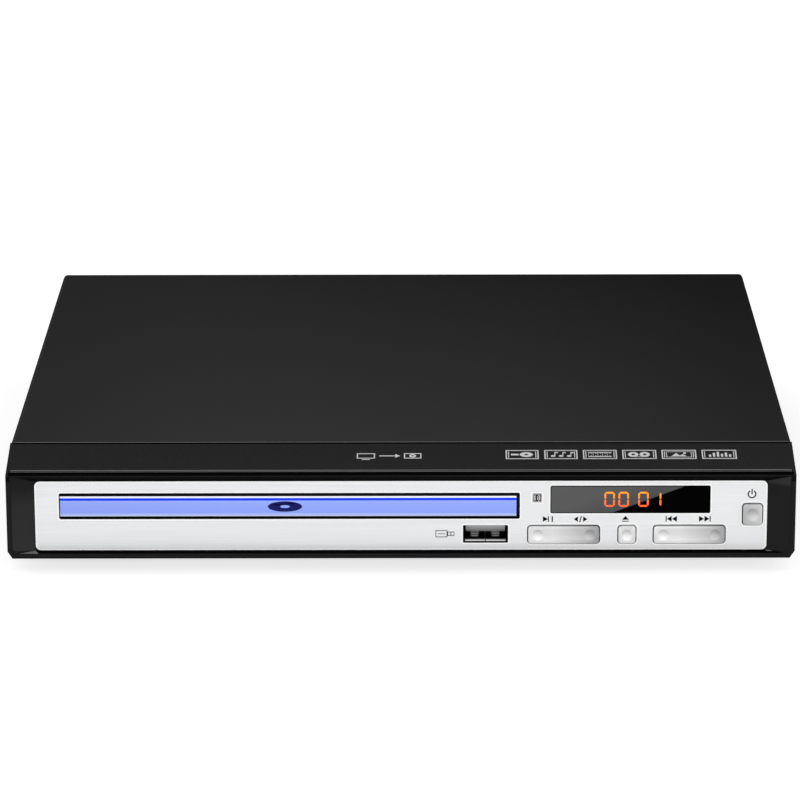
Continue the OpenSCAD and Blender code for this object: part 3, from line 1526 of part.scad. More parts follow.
module power_board() {
  color("#a8874a") from_front() difference() {
    box([column_x0, power_x1], [power_y0, power_y1], [board_z, board_top]);
    for (p = STANDOFFS) disc(screw_shank + screw_fit, [board_z - 1, board_top + 1], p);
  }
}

module transformer() {
  leg = core_d / 2 - core_t;
  color("#d9a13c") from_front() translate([core_x, core_y, board_top]) union() {
    for (y = [-core_d / 2, leg]) box(about(0, core_w / 2), [y, y + core_t], [0, core_h]);
    for (z = [0, core_h - core_t]) box(about(0, core_w / 2), about(0, leg + eps), [z, z + core_t]);
    box(about(0, coil_w / 2), about(0, coil_d / 2), [core_t - coil_inset, core_h - core_t + coil_inset]);
  }
}

module capacitors() {
  color("#24303f") from_front() {
    disc(bulk_r, [board_top, board_top + bulk_h], [core_x, bulk_y]);
    for (k = [0:2]) {
      disc(small_r, [board_top, board_top + small_h], [column_x0 + 8, sink_y + k * small_pitch]);
    }
    disc(output_r, [board_top, board_top + output_h],
      [power_x1 - output_r - part_gap, power_y1 - output_r - 3 * part_gap]);
  }
}

module heat_sink() {
  fins = floor((sink_d - fin_t - 1) / fin_pitch);
  color("#b7b9bc") from_front() union() {
    box([sink_x, sink_x + sink_t], [sink_y, sink_y + sink_d], [board_top, board_top + sink_h]);
    for (k = [0:fins]) {
      box([sink_x - fin_d, sink_x + eps], [sink_y + 1 + k * fin_pitch, sink_y + 1 + k * fin_pitch + fin_t],
        [board_top, board_top + sink_h]);
    }
  }
}

module front_ribbon() {
  up = ribbon_y + 1.8;
  high = ceiling_z - 2.4;
  color("#e4e4e2") from_front() {
    bent_strip([main_x1 - 9, main_x1 - 3], [
      [ribbon_y, ribbon_z], [up - 0.8, ribbon_z + 0.3], [up, ribbon_z + 2], [up, high - 2], [up + 1.5, high],
      [main_y0 - 3, high], [main_y0 + 1, high - 2], [main_y0 + 11, board_top + ribbon_plug + 0.3]
    ], 0.3);
  }
}

module power_harness() {
  color("#c8403a") from_front() {
    bent_strip([plug_x + 1, plug_x + plug_w - 1], [
      [power_y1 - 2, board_top + 4], [power_y1 + 1, board_top + 5],
      [main_y0 - 1, board_top + 5], [main_y0 + 2, board_top + 4]
    ], 1.2);
  }
}

// A wire that follows points in the x-y plane at height z
module flat_wire(path, w, z) {
  side = beside(path, w);
  translate([0, 0, z - w / 2]) linear_extrude(w) {
    polygon(concat(path, [for (i = [len(path) - 1:-1:0]) side[i]]));
  }
}

module mains_wires() {
  y = case_d - sheet_t - inlet_d - 2;
  color("#6b3f2c") from_front() for (x = [-1, 1]) {
    pin_x = inlet_x + x * pin_gap / 2 + wire_w / 2;
    block_x = mains_block_x + x * 2.4 + wire_w / 2;
    flat_wire([
      [pin_x, y], [pin_x, main_y0 + 30], [block_x, mains_block_y + 8], [block_x, mains_block_y]
    ], wire_w, inlet_z);
  }
}

bottom_chassis();
rubber_feet();
top_cover();
rear_panel();
case_screws();
front_bezel();
fascia_panel();
display_window();
ir_window();
tray_door();
play_rocker();
eject_button();
skip_rocker();
power_button();
front_board();
led_display();
tact_switches();
power_switch();
ir_receiver();
usb_board();
usb_shell();
usb_tongue();
loader_frame();
loader_dampers();
loader_screws();
disc_tray();
loading_motor();
motor_pulley();
drive_belt();
pulley_gear();
drive_gear();
clamp_bridge();
clamp_puck();
clamp_plate();
cam_slider();
traverse_frame();
guide_rods();
spindle_motor();
turntable();
sled_motor();
lead_screw();
pickup_sled();
lens_yoke();
lens_holder();
main_board();
main_chips();
board_connectors();
hdmi_socket();
av_jack_block();
av_jack_shells();
av_jack_inserts();
mains_inlet();
inlet_pins();
power_board();
transformer();
capacitors();
heat_sink();
front_ribbon();
power_harness();
mains_wires();
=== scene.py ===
import math

import bmesh
import bpy
from mathutils import Matrix, Vector


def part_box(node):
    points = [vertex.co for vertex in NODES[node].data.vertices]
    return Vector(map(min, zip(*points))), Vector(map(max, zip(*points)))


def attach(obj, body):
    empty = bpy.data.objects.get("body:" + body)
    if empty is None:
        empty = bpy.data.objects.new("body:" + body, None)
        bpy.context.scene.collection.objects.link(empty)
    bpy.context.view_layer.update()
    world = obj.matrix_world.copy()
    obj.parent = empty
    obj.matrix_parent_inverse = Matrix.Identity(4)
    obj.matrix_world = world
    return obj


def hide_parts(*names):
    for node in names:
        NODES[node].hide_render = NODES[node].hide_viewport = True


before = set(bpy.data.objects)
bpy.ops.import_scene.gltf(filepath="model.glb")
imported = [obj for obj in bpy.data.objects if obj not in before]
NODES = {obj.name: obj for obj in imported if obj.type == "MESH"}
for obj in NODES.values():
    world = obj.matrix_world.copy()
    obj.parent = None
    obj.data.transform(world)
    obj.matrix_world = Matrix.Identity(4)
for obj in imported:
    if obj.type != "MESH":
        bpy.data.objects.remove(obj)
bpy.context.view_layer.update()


MM = 0.001

# ---- Places: x from the middle, y behind the front rim, z above the bezel's lower edge ----

rim_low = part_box("front_bezel")[0]
FRONT = rim_low.y / MM
BASE = rim_low.z / MM
RIM_TOP, BAND_TOP, BAND_DEPTH = 24.8, 29.4, 17.4


def place(x, y, z):
    """A point in metres from its place on the player in millimetres."""
    return Vector((x, y + FRONT, z + BASE)) * MM


def on_player(point):
    """A point's place on the player in millimetres."""
    return point / MM - Vector((0, FRONT, BASE))


def limits(node):
    """A node's lowest and highest corners, in millimetres on the player."""
    low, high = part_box(node)
    return on_player(low), on_player(high)


def centre(low, high):
    """The middle of a box across and up."""
    return (low.x + high.x) / 2, (low.z + high.z) / 2


# ---- Finishes ----

def srgb(r, g, b):
    """A colour given as 0 to 255, as linear values."""
    def channel(c):
        c /= 255
        return c / 12.92 if c <= 0.04045 else ((c + 0.055) / 1.055) ** 2.4
    return (channel(r), channel(g), channel(b), 1.0)


def grey(level, blue=0):
    """A grey given as 0 to 255, with a touch more blue."""
    return srgb(level, level, level + blue)


def even(level):
    """The same linear value in all three channels."""
    return (level, level, level, 1)


def shade(colour, factor):
    return tuple(min(1.0, c * factor) for c in colour[:3]) + (1.0,)


class Finish:
    """A Principled shader fed by patterns in object coordinates."""

    def __init__(self, name, colour, roughness, metallic=0.0, specular=0.5):
        self.material = bpy.data.materials.new(name)
        self.material.use_nodes = True
        self.tree = self.material.node_tree
        self.shader = self.tree.nodes["Principled BSDF"]
        self.colour = colour
        self.roughness = roughness
        self.set("Base Color", colour)
        self.set("Roughness", roughness)
        self.set("Metallic", metallic)
        self.set("Specular IOR Level", specular)
        self.material.diffuse_color = colour

    def set(self, socket, value):
        self.shader.inputs[socket].default_value = value
        return self

    def add(self, kind, values=(), **options):
        """A shader node; values are constants or sockets by input, options are its settings."""
        node = self.tree.nodes.new("ShaderNode" + kind)
        for key, value in options.items():
            setattr(node, key, value)
        for socket, value in dict(values).items():
            if isinstance(value, bpy.types.NodeSocket):
                self.link(value, node.inputs[socket])
            else:
                node.inputs[socket].default_value = value
        return node

    def link(self, start, end):
        self.tree.links.new(start, end)
        return self

    def coordinates(self, stretch=(1, 1, 1)):
        source = self.add("TexCoord").outputs["Object"]
        return self.add("Mapping", {"Vector": source, "Scale": stretch}).outputs["Vector"]

    def noise(self, scale, stretch=(1, 1, 1), detail=3.0):
        where = self.coordinates(stretch)
        return self.add("TexNoise", {"Vector": where, "Scale": scale, "Detail": detail}).outputs["Fac"]

    def cells(self, scale, feature="F1", stretch=(1, 1, 1)):
        node = self.add("TexVoronoi", {"Vector": self.coordinates(stretch), "Scale": scale}, feature=feature)
        return node.outputs["Distance" if feature == "DISTANCE_TO_EDGE" else "Color"]

    def along(self, axis):
        """The place along an axis, in metres."""
        return self.add("SeparateXYZ", {"Vector": self.add("TexCoord").outputs["Object"]}).outputs[axis]

    def across(self, x, z, start):
        """The distance in metres from a sloped line on an upright face; x and z give its normal."""
        run, rise = self.math("MULTIPLY", self.along("X"), x), self.math("MULTIPLY", self.along("Z"), z)
        return self.math("SUBTRACT", self.math("ADD", run, rise), start)

    def stripes(self, pitch, direction="X"):
        """Even bands along an axis; pitch is in millimetres."""
        scale = 2 * math.pi / (20 * pitch * MM)
        return self.add("TexWave", {"Vector": self.coordinates(), "Scale": scale}, wave_type="BANDS",
                        bands_direction=direction, wave_profile="SIN").outputs["Fac"]

    def spread(self, value, low, high, to_low=0.0, to_high=1.0):
        return self.add("MapRange", {"Value": value, "From Min": low, "From Max": high,
                                     "To Min": to_low, "To Max": to_high}).outputs["Result"]

    def ramp(self, value, stops, sharp=False):
        node = self.add("ValToRGB", {"Fac": value})
        node.color_ramp.interpolation = "CONSTANT" if sharp else "LINEAR"
        elements = node.color_ramp.elements
        while len(elements) < len(stops):
            elements.new(0.5)
        for element, (position, colour) in zip(elements, stops):
            element.position = position
            element.color = colour
        return node.outputs["Color"]

    def math(self, operation, a, b):
        return self.add("Math", {0: a, 1: b}, operation=operation).outputs["Value"]

    def blend(self, factor, a, b, mode="MIX"):
        return self.add("Mix", {0: factor, 6: a, 7: b}, data_type="RGBA", blend_type=mode).outputs[2]

    def speckled(self, colour, pattern, low):
        """A colour that a pattern darkens, down to low."""
        return self.blend(1.0, colour, self.ramp(pattern, [(0.3, even(low)), (0.7, even(1))]), "MULTIPLY")

    def paint(self, colour):
        return self.link(colour, self.shader.inputs["Base Color"])

    def mottle(self, value, amount):
        """Varies the colour by a pattern, a little darker to a little lighter."""
        stops = [(0.3, shade(self.colour, 1 - amount)), (0.7, shade(self.colour, 1 + amount))]
        return self.paint(self.ramp(value, stops))

    def sheen_spots(self, value, amount):
        """Varies the roughness by a pattern."""
        low, high = self.roughness * (1 - amount), min(1.0, self.roughness * (1 + amount))
        return self.link(self.spread(value, 0.3, 0.7, low, high), self.shader.inputs["Roughness"])

    def relief(self, value, depth, strength=1.0):
        bump = self.add("Bump", {"Height": value, "Strength": strength, "Distance": depth})
        return self.link(bump.outputs["Normal"], self.shader.inputs["Normal"])

    def grain(self, scale, depth, colour=0.08, gloss=0.12, stretch=(1, 1, 1)):
        """The usual fine surface: one pattern in colour, gloss and relief."""
        pattern = self.noise(scale, stretch)
        return self.mottle(pattern, colour).sheen_spots(pattern, gloss).relief(pattern, depth)


def moulded(name, colour, roughness=0.45, specular=0.35, scale=2600, depth=0.00003):
    """Moulded plastic with a fine spark-eroded skin."""
    return Finish(name, colour, roughness, specular=specular).grain(scale, depth)


def sheet_metal(name, colour, roughness=0.35, scale=900, stretch=(1, 1, 1), depth=0.00001):
    return Finish(name, colour, roughness, metallic=1.0).grain(scale, depth, 0.06, 0.25, stretch)


def brushed(name, colour, roughness, stretch):
    """Metal with fine lines along the axis that stretch leaves long."""
    finish = Finish(name, colour, roughness, metallic=1.0)
    lines = finish.noise(1.0, stretch, 4.0)
    return finish.mottle(lines, 0.045).sheen_spots(lines, 0.18).relief(lines, 0.000006)


def galvanised(name, colour):
    """Zinc-coated sheet with its crystal flakes."""
    finish = Finish(name, colour, 0.42, metallic=1.0)
    flakes, fine = finish.cells(210), finish.noise(1800)
    both = finish.math("ADD", finish.math("MULTIPLY", flakes, 0.7), finish.math("MULTIPLY", fine, 0.3))
    tone = finish.ramp(both, [(0.2, shade(colour, 0.88)), (0.8, shade(colour, 1.1))])
    return finish.paint(tone).sheen_spots(flakes, 0.22).relief(fine, 0.00001)


def circuit(name, colour, track):
    """A lacquered board with tracks and solder spots."""
    finish = Finish(name, colour, 0.38, specular=0.45)
    tracks = finish.cells(260, "DISTANCE_TO_EDGE", (1, 1.6, 1))
    lines = finish.ramp(tracks, [(0.0, track), (0.06, track), (0.1, colour)])
    spots = finish.ramp(finish.noise(1400, detail=1.0), [(0.72, even(0)), (0.76, even(1))])
    return finish.paint(finish.blend(spots, lines, srgb(176, 178, 174))).relief(tracks, 0.00004, 0.5)


def striped(name, colour, line, pitch):
    """Moulded wires side by side; pitch is in millimetres."""
    finish = Finish(name, colour, 0.42, specular=0.3)
    waves = finish.stripes(pitch)
    return finish.paint(finish.ramp(waves, [(0.0, line), (0.3, colour)])).relief(waves, 0.0001)


def banded(name, axis, start, end, stops, roughness, sharp=False, specular=0.4):
    """A finish whose colour runs in bands along one axis, from start to end in millimetres on the player."""
    finish = Finish(name, stops[0][1], roughness, specular=specular)
    shift = {"X": 0.0, "Y": FRONT, "Z": BASE}[axis]
    value = finish.spread(finish.along(axis), (start + shift) * MM, (end + shift) * MM)
    pattern = finish.noise(2200)
    finish.paint(finish.speckled(finish.ramp(value, stops, sharp), pattern, 0.94))
    return finish.sheen_spots(pattern, 0.12).relief(pattern, 0.00001)


# ---- Making pieces: folds in degrees, distances in metres ----

SMOOTH_FOLD, EASED_FOLD, SHARP_FOLD = 32, 30, 25
FLAT_TURN, SAME_CORNER, SAME_POINT = 0.02, 0.000001, 0.0000005


def soften(mesh, fold):
    """Shades a mesh smooth over folds of fewer degrees than fold."""
    for face in mesh.polygons:
        face.use_smooth = True
    mesh.set_sharp_from_angle(angle=math.radians(fold))


def settle(mesh, name, finishes, body, replaced=(), smooth=True):
    """Puts a mesh on the player as a piece that rides on a body."""
    piece = bpy.data.objects.new(name, mesh)
    bpy.context.scene.collection.objects.link(piece)
    if not len(mesh.materials):
        for finish in finishes:
            mesh.materials.append(finish.material)
    if smooth:
        soften(mesh, SMOOTH_FOLD)
    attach(piece, body)
    if replaced:
        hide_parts(*replaced)
    return piece


def copy_of(node):
    """A merged copy of a node's mesh with its flat faces whole."""
    source = NODES[node]
    shell = bmesh.new()
    shell.from_mesh(source.data)
    bmesh.ops.transform(shell, matrix=source.matrix_world, verts=shell.verts)
    bmesh.ops.remove_doubles(shell, verts=shell.verts, dist=SAME_CORNER)
    bmesh.ops.dissolve_limit(shell, angle_limit=FLAT_TURN, verts=shell.verts, edges=shell.edges)
    return shell


def meshed(shell, name):
    """Ends a shell as a plain mesh."""
    mesh = bpy.data.meshes.new(name)
    shell.to_mesh(mesh)
    shell.free()
    return mesh


def closed(mesh):
    """Merges a mesh's doubles and turns its faces outwards."""
    shell = bmesh.new()
    shell.from_mesh(mesh)
    bmesh.ops.remove_doubles(shell, verts=shell.verts, dist=SAME_POINT)
    bmesh.ops.recalc_face_normals(shell, faces=shell.faces)
    shell.to_mesh(mesh)
    shell.free()
    return mesh


def tint_faces(shell, accents, first):
    """Gives each face the finish of the first accent whose test picks it, numbered from first."""
    for face in shell.faces:
        middle = on_player(face.calc_center_bounds())
        for number, (_, test) in enumerate(accents):
            if test(middle, face.normal):
                face.material_index = first + number
                break
    return [finish for finish, _ in accents]


def tinted(node, body, slot, finish, *accents, name=None):
    """A copy of a node with a finish of its own on the faces that each accent's test picks."""
    shell = copy_of(node)
    finishes = [finish] + tint_faces(shell, accents, 1)
    name = name or node + "_finished"
    return settle(meshed(shell, name), name, finishes, body, (node,))


def rimmed(node, lip, finish, rim, body, accents=()):
    """A copy of a node whose front face has a strip of the rim's finish round every outline."""
    shell = copy_of(node)
    finishes = [finish, rim] + tint_faces(shell, accents, 2)
    front = limits(node)[0].y
    flat = [face for face in shell.faces
            if face.normal.y < -0.999 and abs(on_player(face.calc_center_bounds()).y - front) < 0.05]
    strip = bmesh.ops.inset_region(shell, faces=flat, thickness=lip * MM, use_boundary=True,
                                   use_even_offset=True)
    for face in strip["faces"]:
        face.material_index = 1
    name = node + "_rimmed"
    return settle(meshed(shell, name), name, finishes, body, (node,))


def eased(node, width, body, finish, wanted=None, edge=None, accents=()):
    """A copy of a node whose wanted sharp edges are rounded by width, in millimetres.

    The rounded edges take the finish named edge, and the faces that an accent's test picks take its finish.
    """
    shell = copy_of(node)
    finishes = [finish] + ([edge] if edge else [])
    finishes += tint_faces(shell, accents, len(finishes))
    weight = shell.edges.layers.float.new("bevel_weight_edge")
    for fold in shell.edges:
        if len(fold.link_faces) != 2 or fold.calc_face_angle(0) < math.radians(SHARP_FOLD):
            continue
        middle = on_player((fold.verts[0].co + fold.verts[1].co) / 2)
        if wanted is None or wanted(middle, fold):
            fold[weight] = 1.0
    name = node + "_eased"
    piece = settle(meshed(shell, name), name, finishes, body, (node,), smooth=False)
    bevel = piece.modifiers.new("eased", "BEVEL")
    bevel.width = width * MM
    bevel.segments = 2
    bevel.limit_method = "WEIGHT"
    bevel.use_clamp_overlap = False
    bevel.harden_normals = False
    bevel.miter_outer = "MITER_ARC"
    bevel.material = 1 if edge else -1
    piece.data, old = plain_mesh(piece), piece.data
    piece.modifiers.clear()
    bpy.data.meshes.remove(old)
    soften(piece.data, EASED_FOLD)
    return piece


def plain_mesh(piece):
    """The plain mesh that a piece's live modifiers make."""
    bpy.context.view_layer.update()
    return bpy.data.meshes.new_from_object(piece.evaluated_get(bpy.context.evaluated_depsgraph_get()))


def mesh_of(name, points, faces):
    mesh = bpy.data.meshes.new(name)
    mesh.from_pydata([tuple(p) for p in points], [], faces)
    mesh.update()
    return closed(mesh)


def prints(name, shapes, at, thickness):
    """Closed flat shapes, given in millimetres, raised by a thickness from where at puts them."""
    points, faces = [], []
    for shape in shapes:
        start, count = len(points), len(shape)
        points += [at(u, v, 0.0) for u, v in shape] + [at(u, v, thickness) for u, v in shape]
        faces.append(list(range(start, start + count)))
        faces.append(list(range(start + count, start + 2 * count)))
        faces += [[start + i, start + (i + 1) % count, start + count + (i + 1) % count, start + count + i]
                  for i in range(count)]
    return mesh_of(name, points, faces)


def sign(name, shapes, at, finish, thickness=0.012, body="case"):
    """Raised shapes as one piece with sharp edges."""
    return settle(prints(name, shapes, at, thickness), name, [finish], body, smooth=False)


def on_face(y, outwards=-1):
    """Places marks on an upright face: across, up, and proud of it; outwards is 1 on a rear face."""
    return lambda u, v, t: place(u, y + outwards * t, v)


def ring(u, v, r, width, start=0.0, end=360.0, steps=24):
    """An arc of a flat ring as four-sided patches."""
    parts = max(2, int(steps * (end - start) / 360))
    angles = [math.radians(start + (end - start) * k / parts) for k in range(parts + 1)]
    return [[(u + q * math.cos(a), v + q * math.sin(a)) for q, a in
             ((r, a0), (r + width, a0), (r + width, a1), (r, a1))] for a0, a1 in zip(angles, angles[1:])]


def bar(u0, v0, u1, v1):
    return [(u0, v0), (u1, v0), (u1, v1), (u0, v1)]


def outline_box(u0, v0, u1, v1, width):
    """The four strips of a rectangular frame."""
    return [bar(u0, v0, u1, v0 + width), bar(u0, v1 - width, u1, v1),
            bar(u0, v0 + width, u0 + width, v1 - width), bar(u1 - width, v0 + width, u1, v1 - width)]


# ---- Finishes of the front ----

panel_low, panel_high = limits("fascia_panel")
window_low = limits("display_window")[0]
door_low, door_high = limits("tray_door")
cover_low = limits("top_cover")[0]

BEZEL = Finish("bezel plastic with painted recess shade", grey(36, 1), 0.55, specular=0.004)
skin = BEZEL.noise(2600)
# By height: a touch darker at the bottom, a dark strip of painted shade at the top of the recess, lighter on
# the band above
bezel_tone_and_shade = BEZEL.ramp(BEZEL.spread(BEZEL.along("Z"), BASE * MM, (BASE + BAND_TOP) * MM), [
    (0.0, grey(34, 1)), (0.045, grey(34, 1)), (0.06, grey(36, 1)), (0.77, grey(36, 1)),
    (0.79, grey(17, 1)), (0.835, grey(17, 1)), (0.846, grey(50, 1)), (1.0, grey(50, 1))])
BEZEL.paint(BEZEL.speckled(bezel_tone_and_shade, skin, 0.72)).sheen_spots(skin, 0.12).relief(skin, 0.00004)
BEZEL_EDGE = moulded("bezel edge", grey(30, 1), 0.5, 0.006)
# Painted shade low on the groove's back wall and a painted highlight above it, on the wall's top and on a
# strip along the band behind the groove
GROOVE_HIGHLIGHT = banded("painted groove highlight", "Z", 24.9, 25.5, [
    (0.0, grey(5)), (0.45, grey(5)), (0.55, grey(138, 2)), (1.0, grey(138, 2))], 0.4, specular=0.1)
# Painted shadow: near black on the groove's front wall, the recess floor, the walls of the panel's openings,
# a strip round the display window and two lines across the band
SHADOW_BLACK = moulded("painted shadow black", grey(3), 0.6, 0.003)
# Painted shade on the recess's upper slope and on the lip and rim beside it, darkest lowest
UPPER_SLOPE_SHADE = banded("painted shade on the upper slope of the recess", "Z", 22.2, 24.6, [
    (0.0, grey(2)), (0.5, grey(14)), (1.0, grey(20))], 0.55, specular=0.003)
# Painted light and shade on the recess's side slopes: the left is lighter low down and darker near the top,
# the right is darker with a painted highlight near the top
LEFT_SLOPE_LIGHT = banded("painted light on the left slope of the recess", "Z", 1.5, 24.5, [
    (0.0, grey(50)), (0.6, grey(47)), (0.85, grey(34)), (1.0, grey(31))], 0.55, specular=0.004)
RIGHT_SLOPE_LIGHT = banded("painted light on the right slope of the recess", "Z", 1.5, 24.5, [
    (0.0, grey(36)), (0.85, grey(35, 1)), (0.9, grey(52)), (1.0, grey(50))], 0.55, specular=0.004)
SILVER = Finish("brushed silver face", srgb(223, 224, 225), 0.42, metallic=0.25, specular=0.3)
brushing = SILVER.noise(1.0, (22, 700, 2400), 4.0)
SILVER.mottle(brushing, 0.035).sheen_spots(brushing, 0.15).relief(brushing, 0.000004)
# A near white painted highlight for a thin strip round the panel's outlines
EDGE_HIGHLIGHT = moulded("painted edge highlight", grey(250), 0.3, 0.4, depth=0.000004)


def key_with_painted_light(name, left, right, light, dark, dish=None):
    """Satin silver with a painted reflection that darkens from left to right; dish gives a dimple's height
    and radius, where painted shade lightens the bottom and darkens the top.
    """
    middle = tuple((a + b) / 2 for a, b in zip(light, dark))
    finish = Finish(name, srgb(*light), 0.4, metallic=0.1, specular=0.12)
    value = finish.spread(finish.along("X"), left * MM, right * MM)
    stops = [(0.0, srgb(*light)), (0.35, srgb(*light)), (0.8, srgb(*middle)), (1.0, srgb(*dark))]
    tone = finish.ramp(value, stops)
    if dish:
        height, radius = dish[0] + BASE, dish[1]
        up = finish.spread(finish.along("Z"), (height - radius) * MM, (height + radius) * MM)
        dimple_shade = finish.ramp(up, [(0.0, even(1.2)), (0.45, even(1.06)), (1.0, even(0.68))])
        tone = finish.blend(1.0, tone, dimple_shade, "MULTIPLY")
    pattern = finish.noise(2200)
    finish.paint(finish.speckled(tone, pattern, 0.96))
    return finish.sheen_spots(pattern, 0.12).relief(pattern, 0.00001)


# Painted light: the cover is lighter at the front and darker towards the back and towards both sides
COVER = Finish("black powder coat with painted light", grey(44, 1), 0.6, specular=0.0015)
light_from_front = COVER.spread(COVER.along("Y"), FRONT * MM, -FRONT * MM, 1.0, 0.0)
coat = COVER.ramp(light_from_front, [(0.0, grey(34)), (0.35, grey(48, 1)), (1.0, grey(65, 1))])
painted_side_shade = COVER.spread(COVER.math("ABSOLUTE", COVER.along("X"), 0.0), 0.03, 0.105)
painted_side_shade = COVER.ramp(painted_side_shade, [(0.0, even(1)), (0.5, even(0.88)), (1.0, even(0.64))])
powder = COVER.noise(3000)
COVER.paint(COVER.speckled(COVER.blend(1.0, coat, painted_side_shade, "MULTIPLY"), powder, 0.88))
COVER.sheen_spots(powder, 0.1).relief(powder, 0.00003)
# A painted highlight for the cover's rounded front edge
COVER_EDGE_HIGHLIGHT = moulded("painted cover edge highlight", grey(116, 2), 0.45, 0.02)

# Painted light on the door by height: black gap shade along the bottom and the top, pale and soft highlights
# low down, the blue body, a saturated blue line of refracted light and a white highlight along the top
# chamfer
DOOR_GAP_SHADE, DOOR_PALE_HIGHLIGHT, DOOR_REFRACTED_BLUE = srgb(1, 1, 2), srgb(206, 220, 255), srgb(10, 58, 254)
DOOR_TOP_HIGHLIGHT, DOOR_SOFT_HIGHLIGHT = srgb(253, 254, 255), srgb(176, 194, 255)
DOOR = Finish("blue tray door with painted light", srgb(149, 170, 254), 0.36, specular=0.1)
door_height = DOOR.spread(DOOR.along("Z"), (door_low.z + BASE) * MM, (door_high.z + BASE) * MM)
door_painted_light = DOOR.ramp(door_height, [
    (0.0, DOOR_GAP_SHADE), (0.062, DOOR_GAP_SHADE), (0.072, DOOR_PALE_HIGHLIGHT), (0.115, DOOR_PALE_HIGHLIGHT), (0.13, DOOR_SOFT_HIGHLIGHT),
    (0.185, DOOR_SOFT_HIGHLIGHT), (0.2, srgb(148, 169, 254)), (0.5, srgb(150, 171, 254)), (0.72, srgb(158, 179, 254)),
    (0.74, DOOR_REFRACTED_BLUE), (0.825, DOOR_REFRACTED_BLUE), (0.84, srgb(228, 234, 255)), (0.86, DOOR_TOP_HIGHLIGHT), (0.9, DOOR_TOP_HIGHLIGHT),
    (0.91, DOOR_GAP_SHADE)])


def door_end(near, far, stop):
    """1 on the door past a line near its right end; near and far are millimetres from that end."""
    value = DOOR.spread(DOOR.along("X"), (door_high.x - near) * MM, (door_high.x - far) * MM)
    return DOOR.ramp(value, [(0.0, even(0)), (stop, even(1))], sharp=True)


# Painted shade in a black strip at the door's right end, with a pale painted highlight beside it above the
# bottom strip
pale_end_highlight = DOOR.math("MULTIPLY", door_end(0.9, 0.3, 0.5), DOOR.spread(door_height, 0.06, 0.07))
door_painted_light = DOOR.blend(door_end(1.2, 0.0, 0.42), DOOR.blend(pale_end_highlight, door_painted_light, DOOR_PALE_HIGHLIGHT), DOOR_GAP_SHADE)
DOOR.paint(door_painted_light).relief(DOOR.noise(2400), 0.00001)

GLASS = Finish("smoked window with painted reflection", grey(12, 2), 0.14, specular=0.008)
# Painted reflection: grey on one side of a diagonal line across the window, near black beyond it
GLARE_X, GLARE_Z = 0.356, -0.9346
glare = GLASS.across(GLARE_X, GLARE_Z, (GLARE_X * 60.3 + GLARE_Z * (12.6 + BASE)) * MM)
GLASS.paint(GLASS.ramp(GLASS.spread(glare, -0.016, 0.0004), [
    (0.0, grey(94, 1)), (0.6, grey(92, 1)), (0.965, grey(80, 1)), (0.975, grey(1))]))
GLASS.relief(GLASS.noise(40), 0.00001, 0.4)

PRINT = moulded("dark print", grey(8, 1), 0.5, 0.02)
GREY_PRINT = moulded("grey print", srgb(48, 49, 52), 0.5, 0.04)
WHITE_PRINT = moulded("white print", grey(236), 0.5, 0.1)
NAVY_PRINT = moulded("navy print", srgb(14, 20, 92), 0.5, 0.1)
# A light grey painted glint for the recess's lower corners
GLINT = moulded("painted corner glint", grey(150, 2), 0.3, 0.2)

SEGMENTS = Finish("lit segments", srgb(255, 130, 30), 0.4, specular=0.2)
glow = SEGMENTS.spread(SEGMENTS.along("Z"), (15.2 + BASE) * MM, (19.4 + BASE) * MM)
glow = SEGMENTS.ramp(glow, [(0.0, srgb(255, 96, 44)), (1.0, srgb(255, 156, 24))])
SEGMENTS.paint(glow).link(glow, SEGMENTS.shader.inputs["Emission Color"])
SEGMENTS.set("Emission Strength", 0.5).relief(SEGMENTS.noise(900), 0.00001)

# ---- Light, floor and camera ----

WORLD_LIGHT, WORLD_SEEN, FLOOR_LIFT, FLOOR_HALF, FLOOR_DROP = 0.36, 1.0, 0.66, 6, -0.0002
LAMPS = (("front softbox", (-0.05, -0.75, 0.14), (1.1, 0.3), 3.1),
         ("side fill", (0.9, -0.7, 0.28), (0.5, 0.4), 2.0),
         ("back fill", (-0.5, 1.4, 0.3), (0.9, 0.5), 7.0))
LAMP_AIM = (0, -0.06, 0.02)
CAMERA_PLACE, CAMERA_LENS, CAMERA_SENSOR = (5.15, FRONT - 1139.18, 386.49), 189.0, 36.0
CAMERA_TURN, CAMERA_DIP, CAMERA_ROLL = 0.266, 16.4, -0.161


def seen(tree):
    """1 for what the camera sees, straight, mirrored or through glass."""
    path = tree.nodes.new("ShaderNodeLightPath")
    value = path.outputs["Is Camera Ray"]
    for ray in ("Is Glossy Ray", "Is Transmission Ray"):
        either = tree.nodes.new("ShaderNodeMath")
        either.operation = "MAXIMUM"
        tree.links.new(value, either.inputs[0])
        tree.links.new(path.outputs[ray], either.inputs[1])
        value = either.outputs[0]
    return value


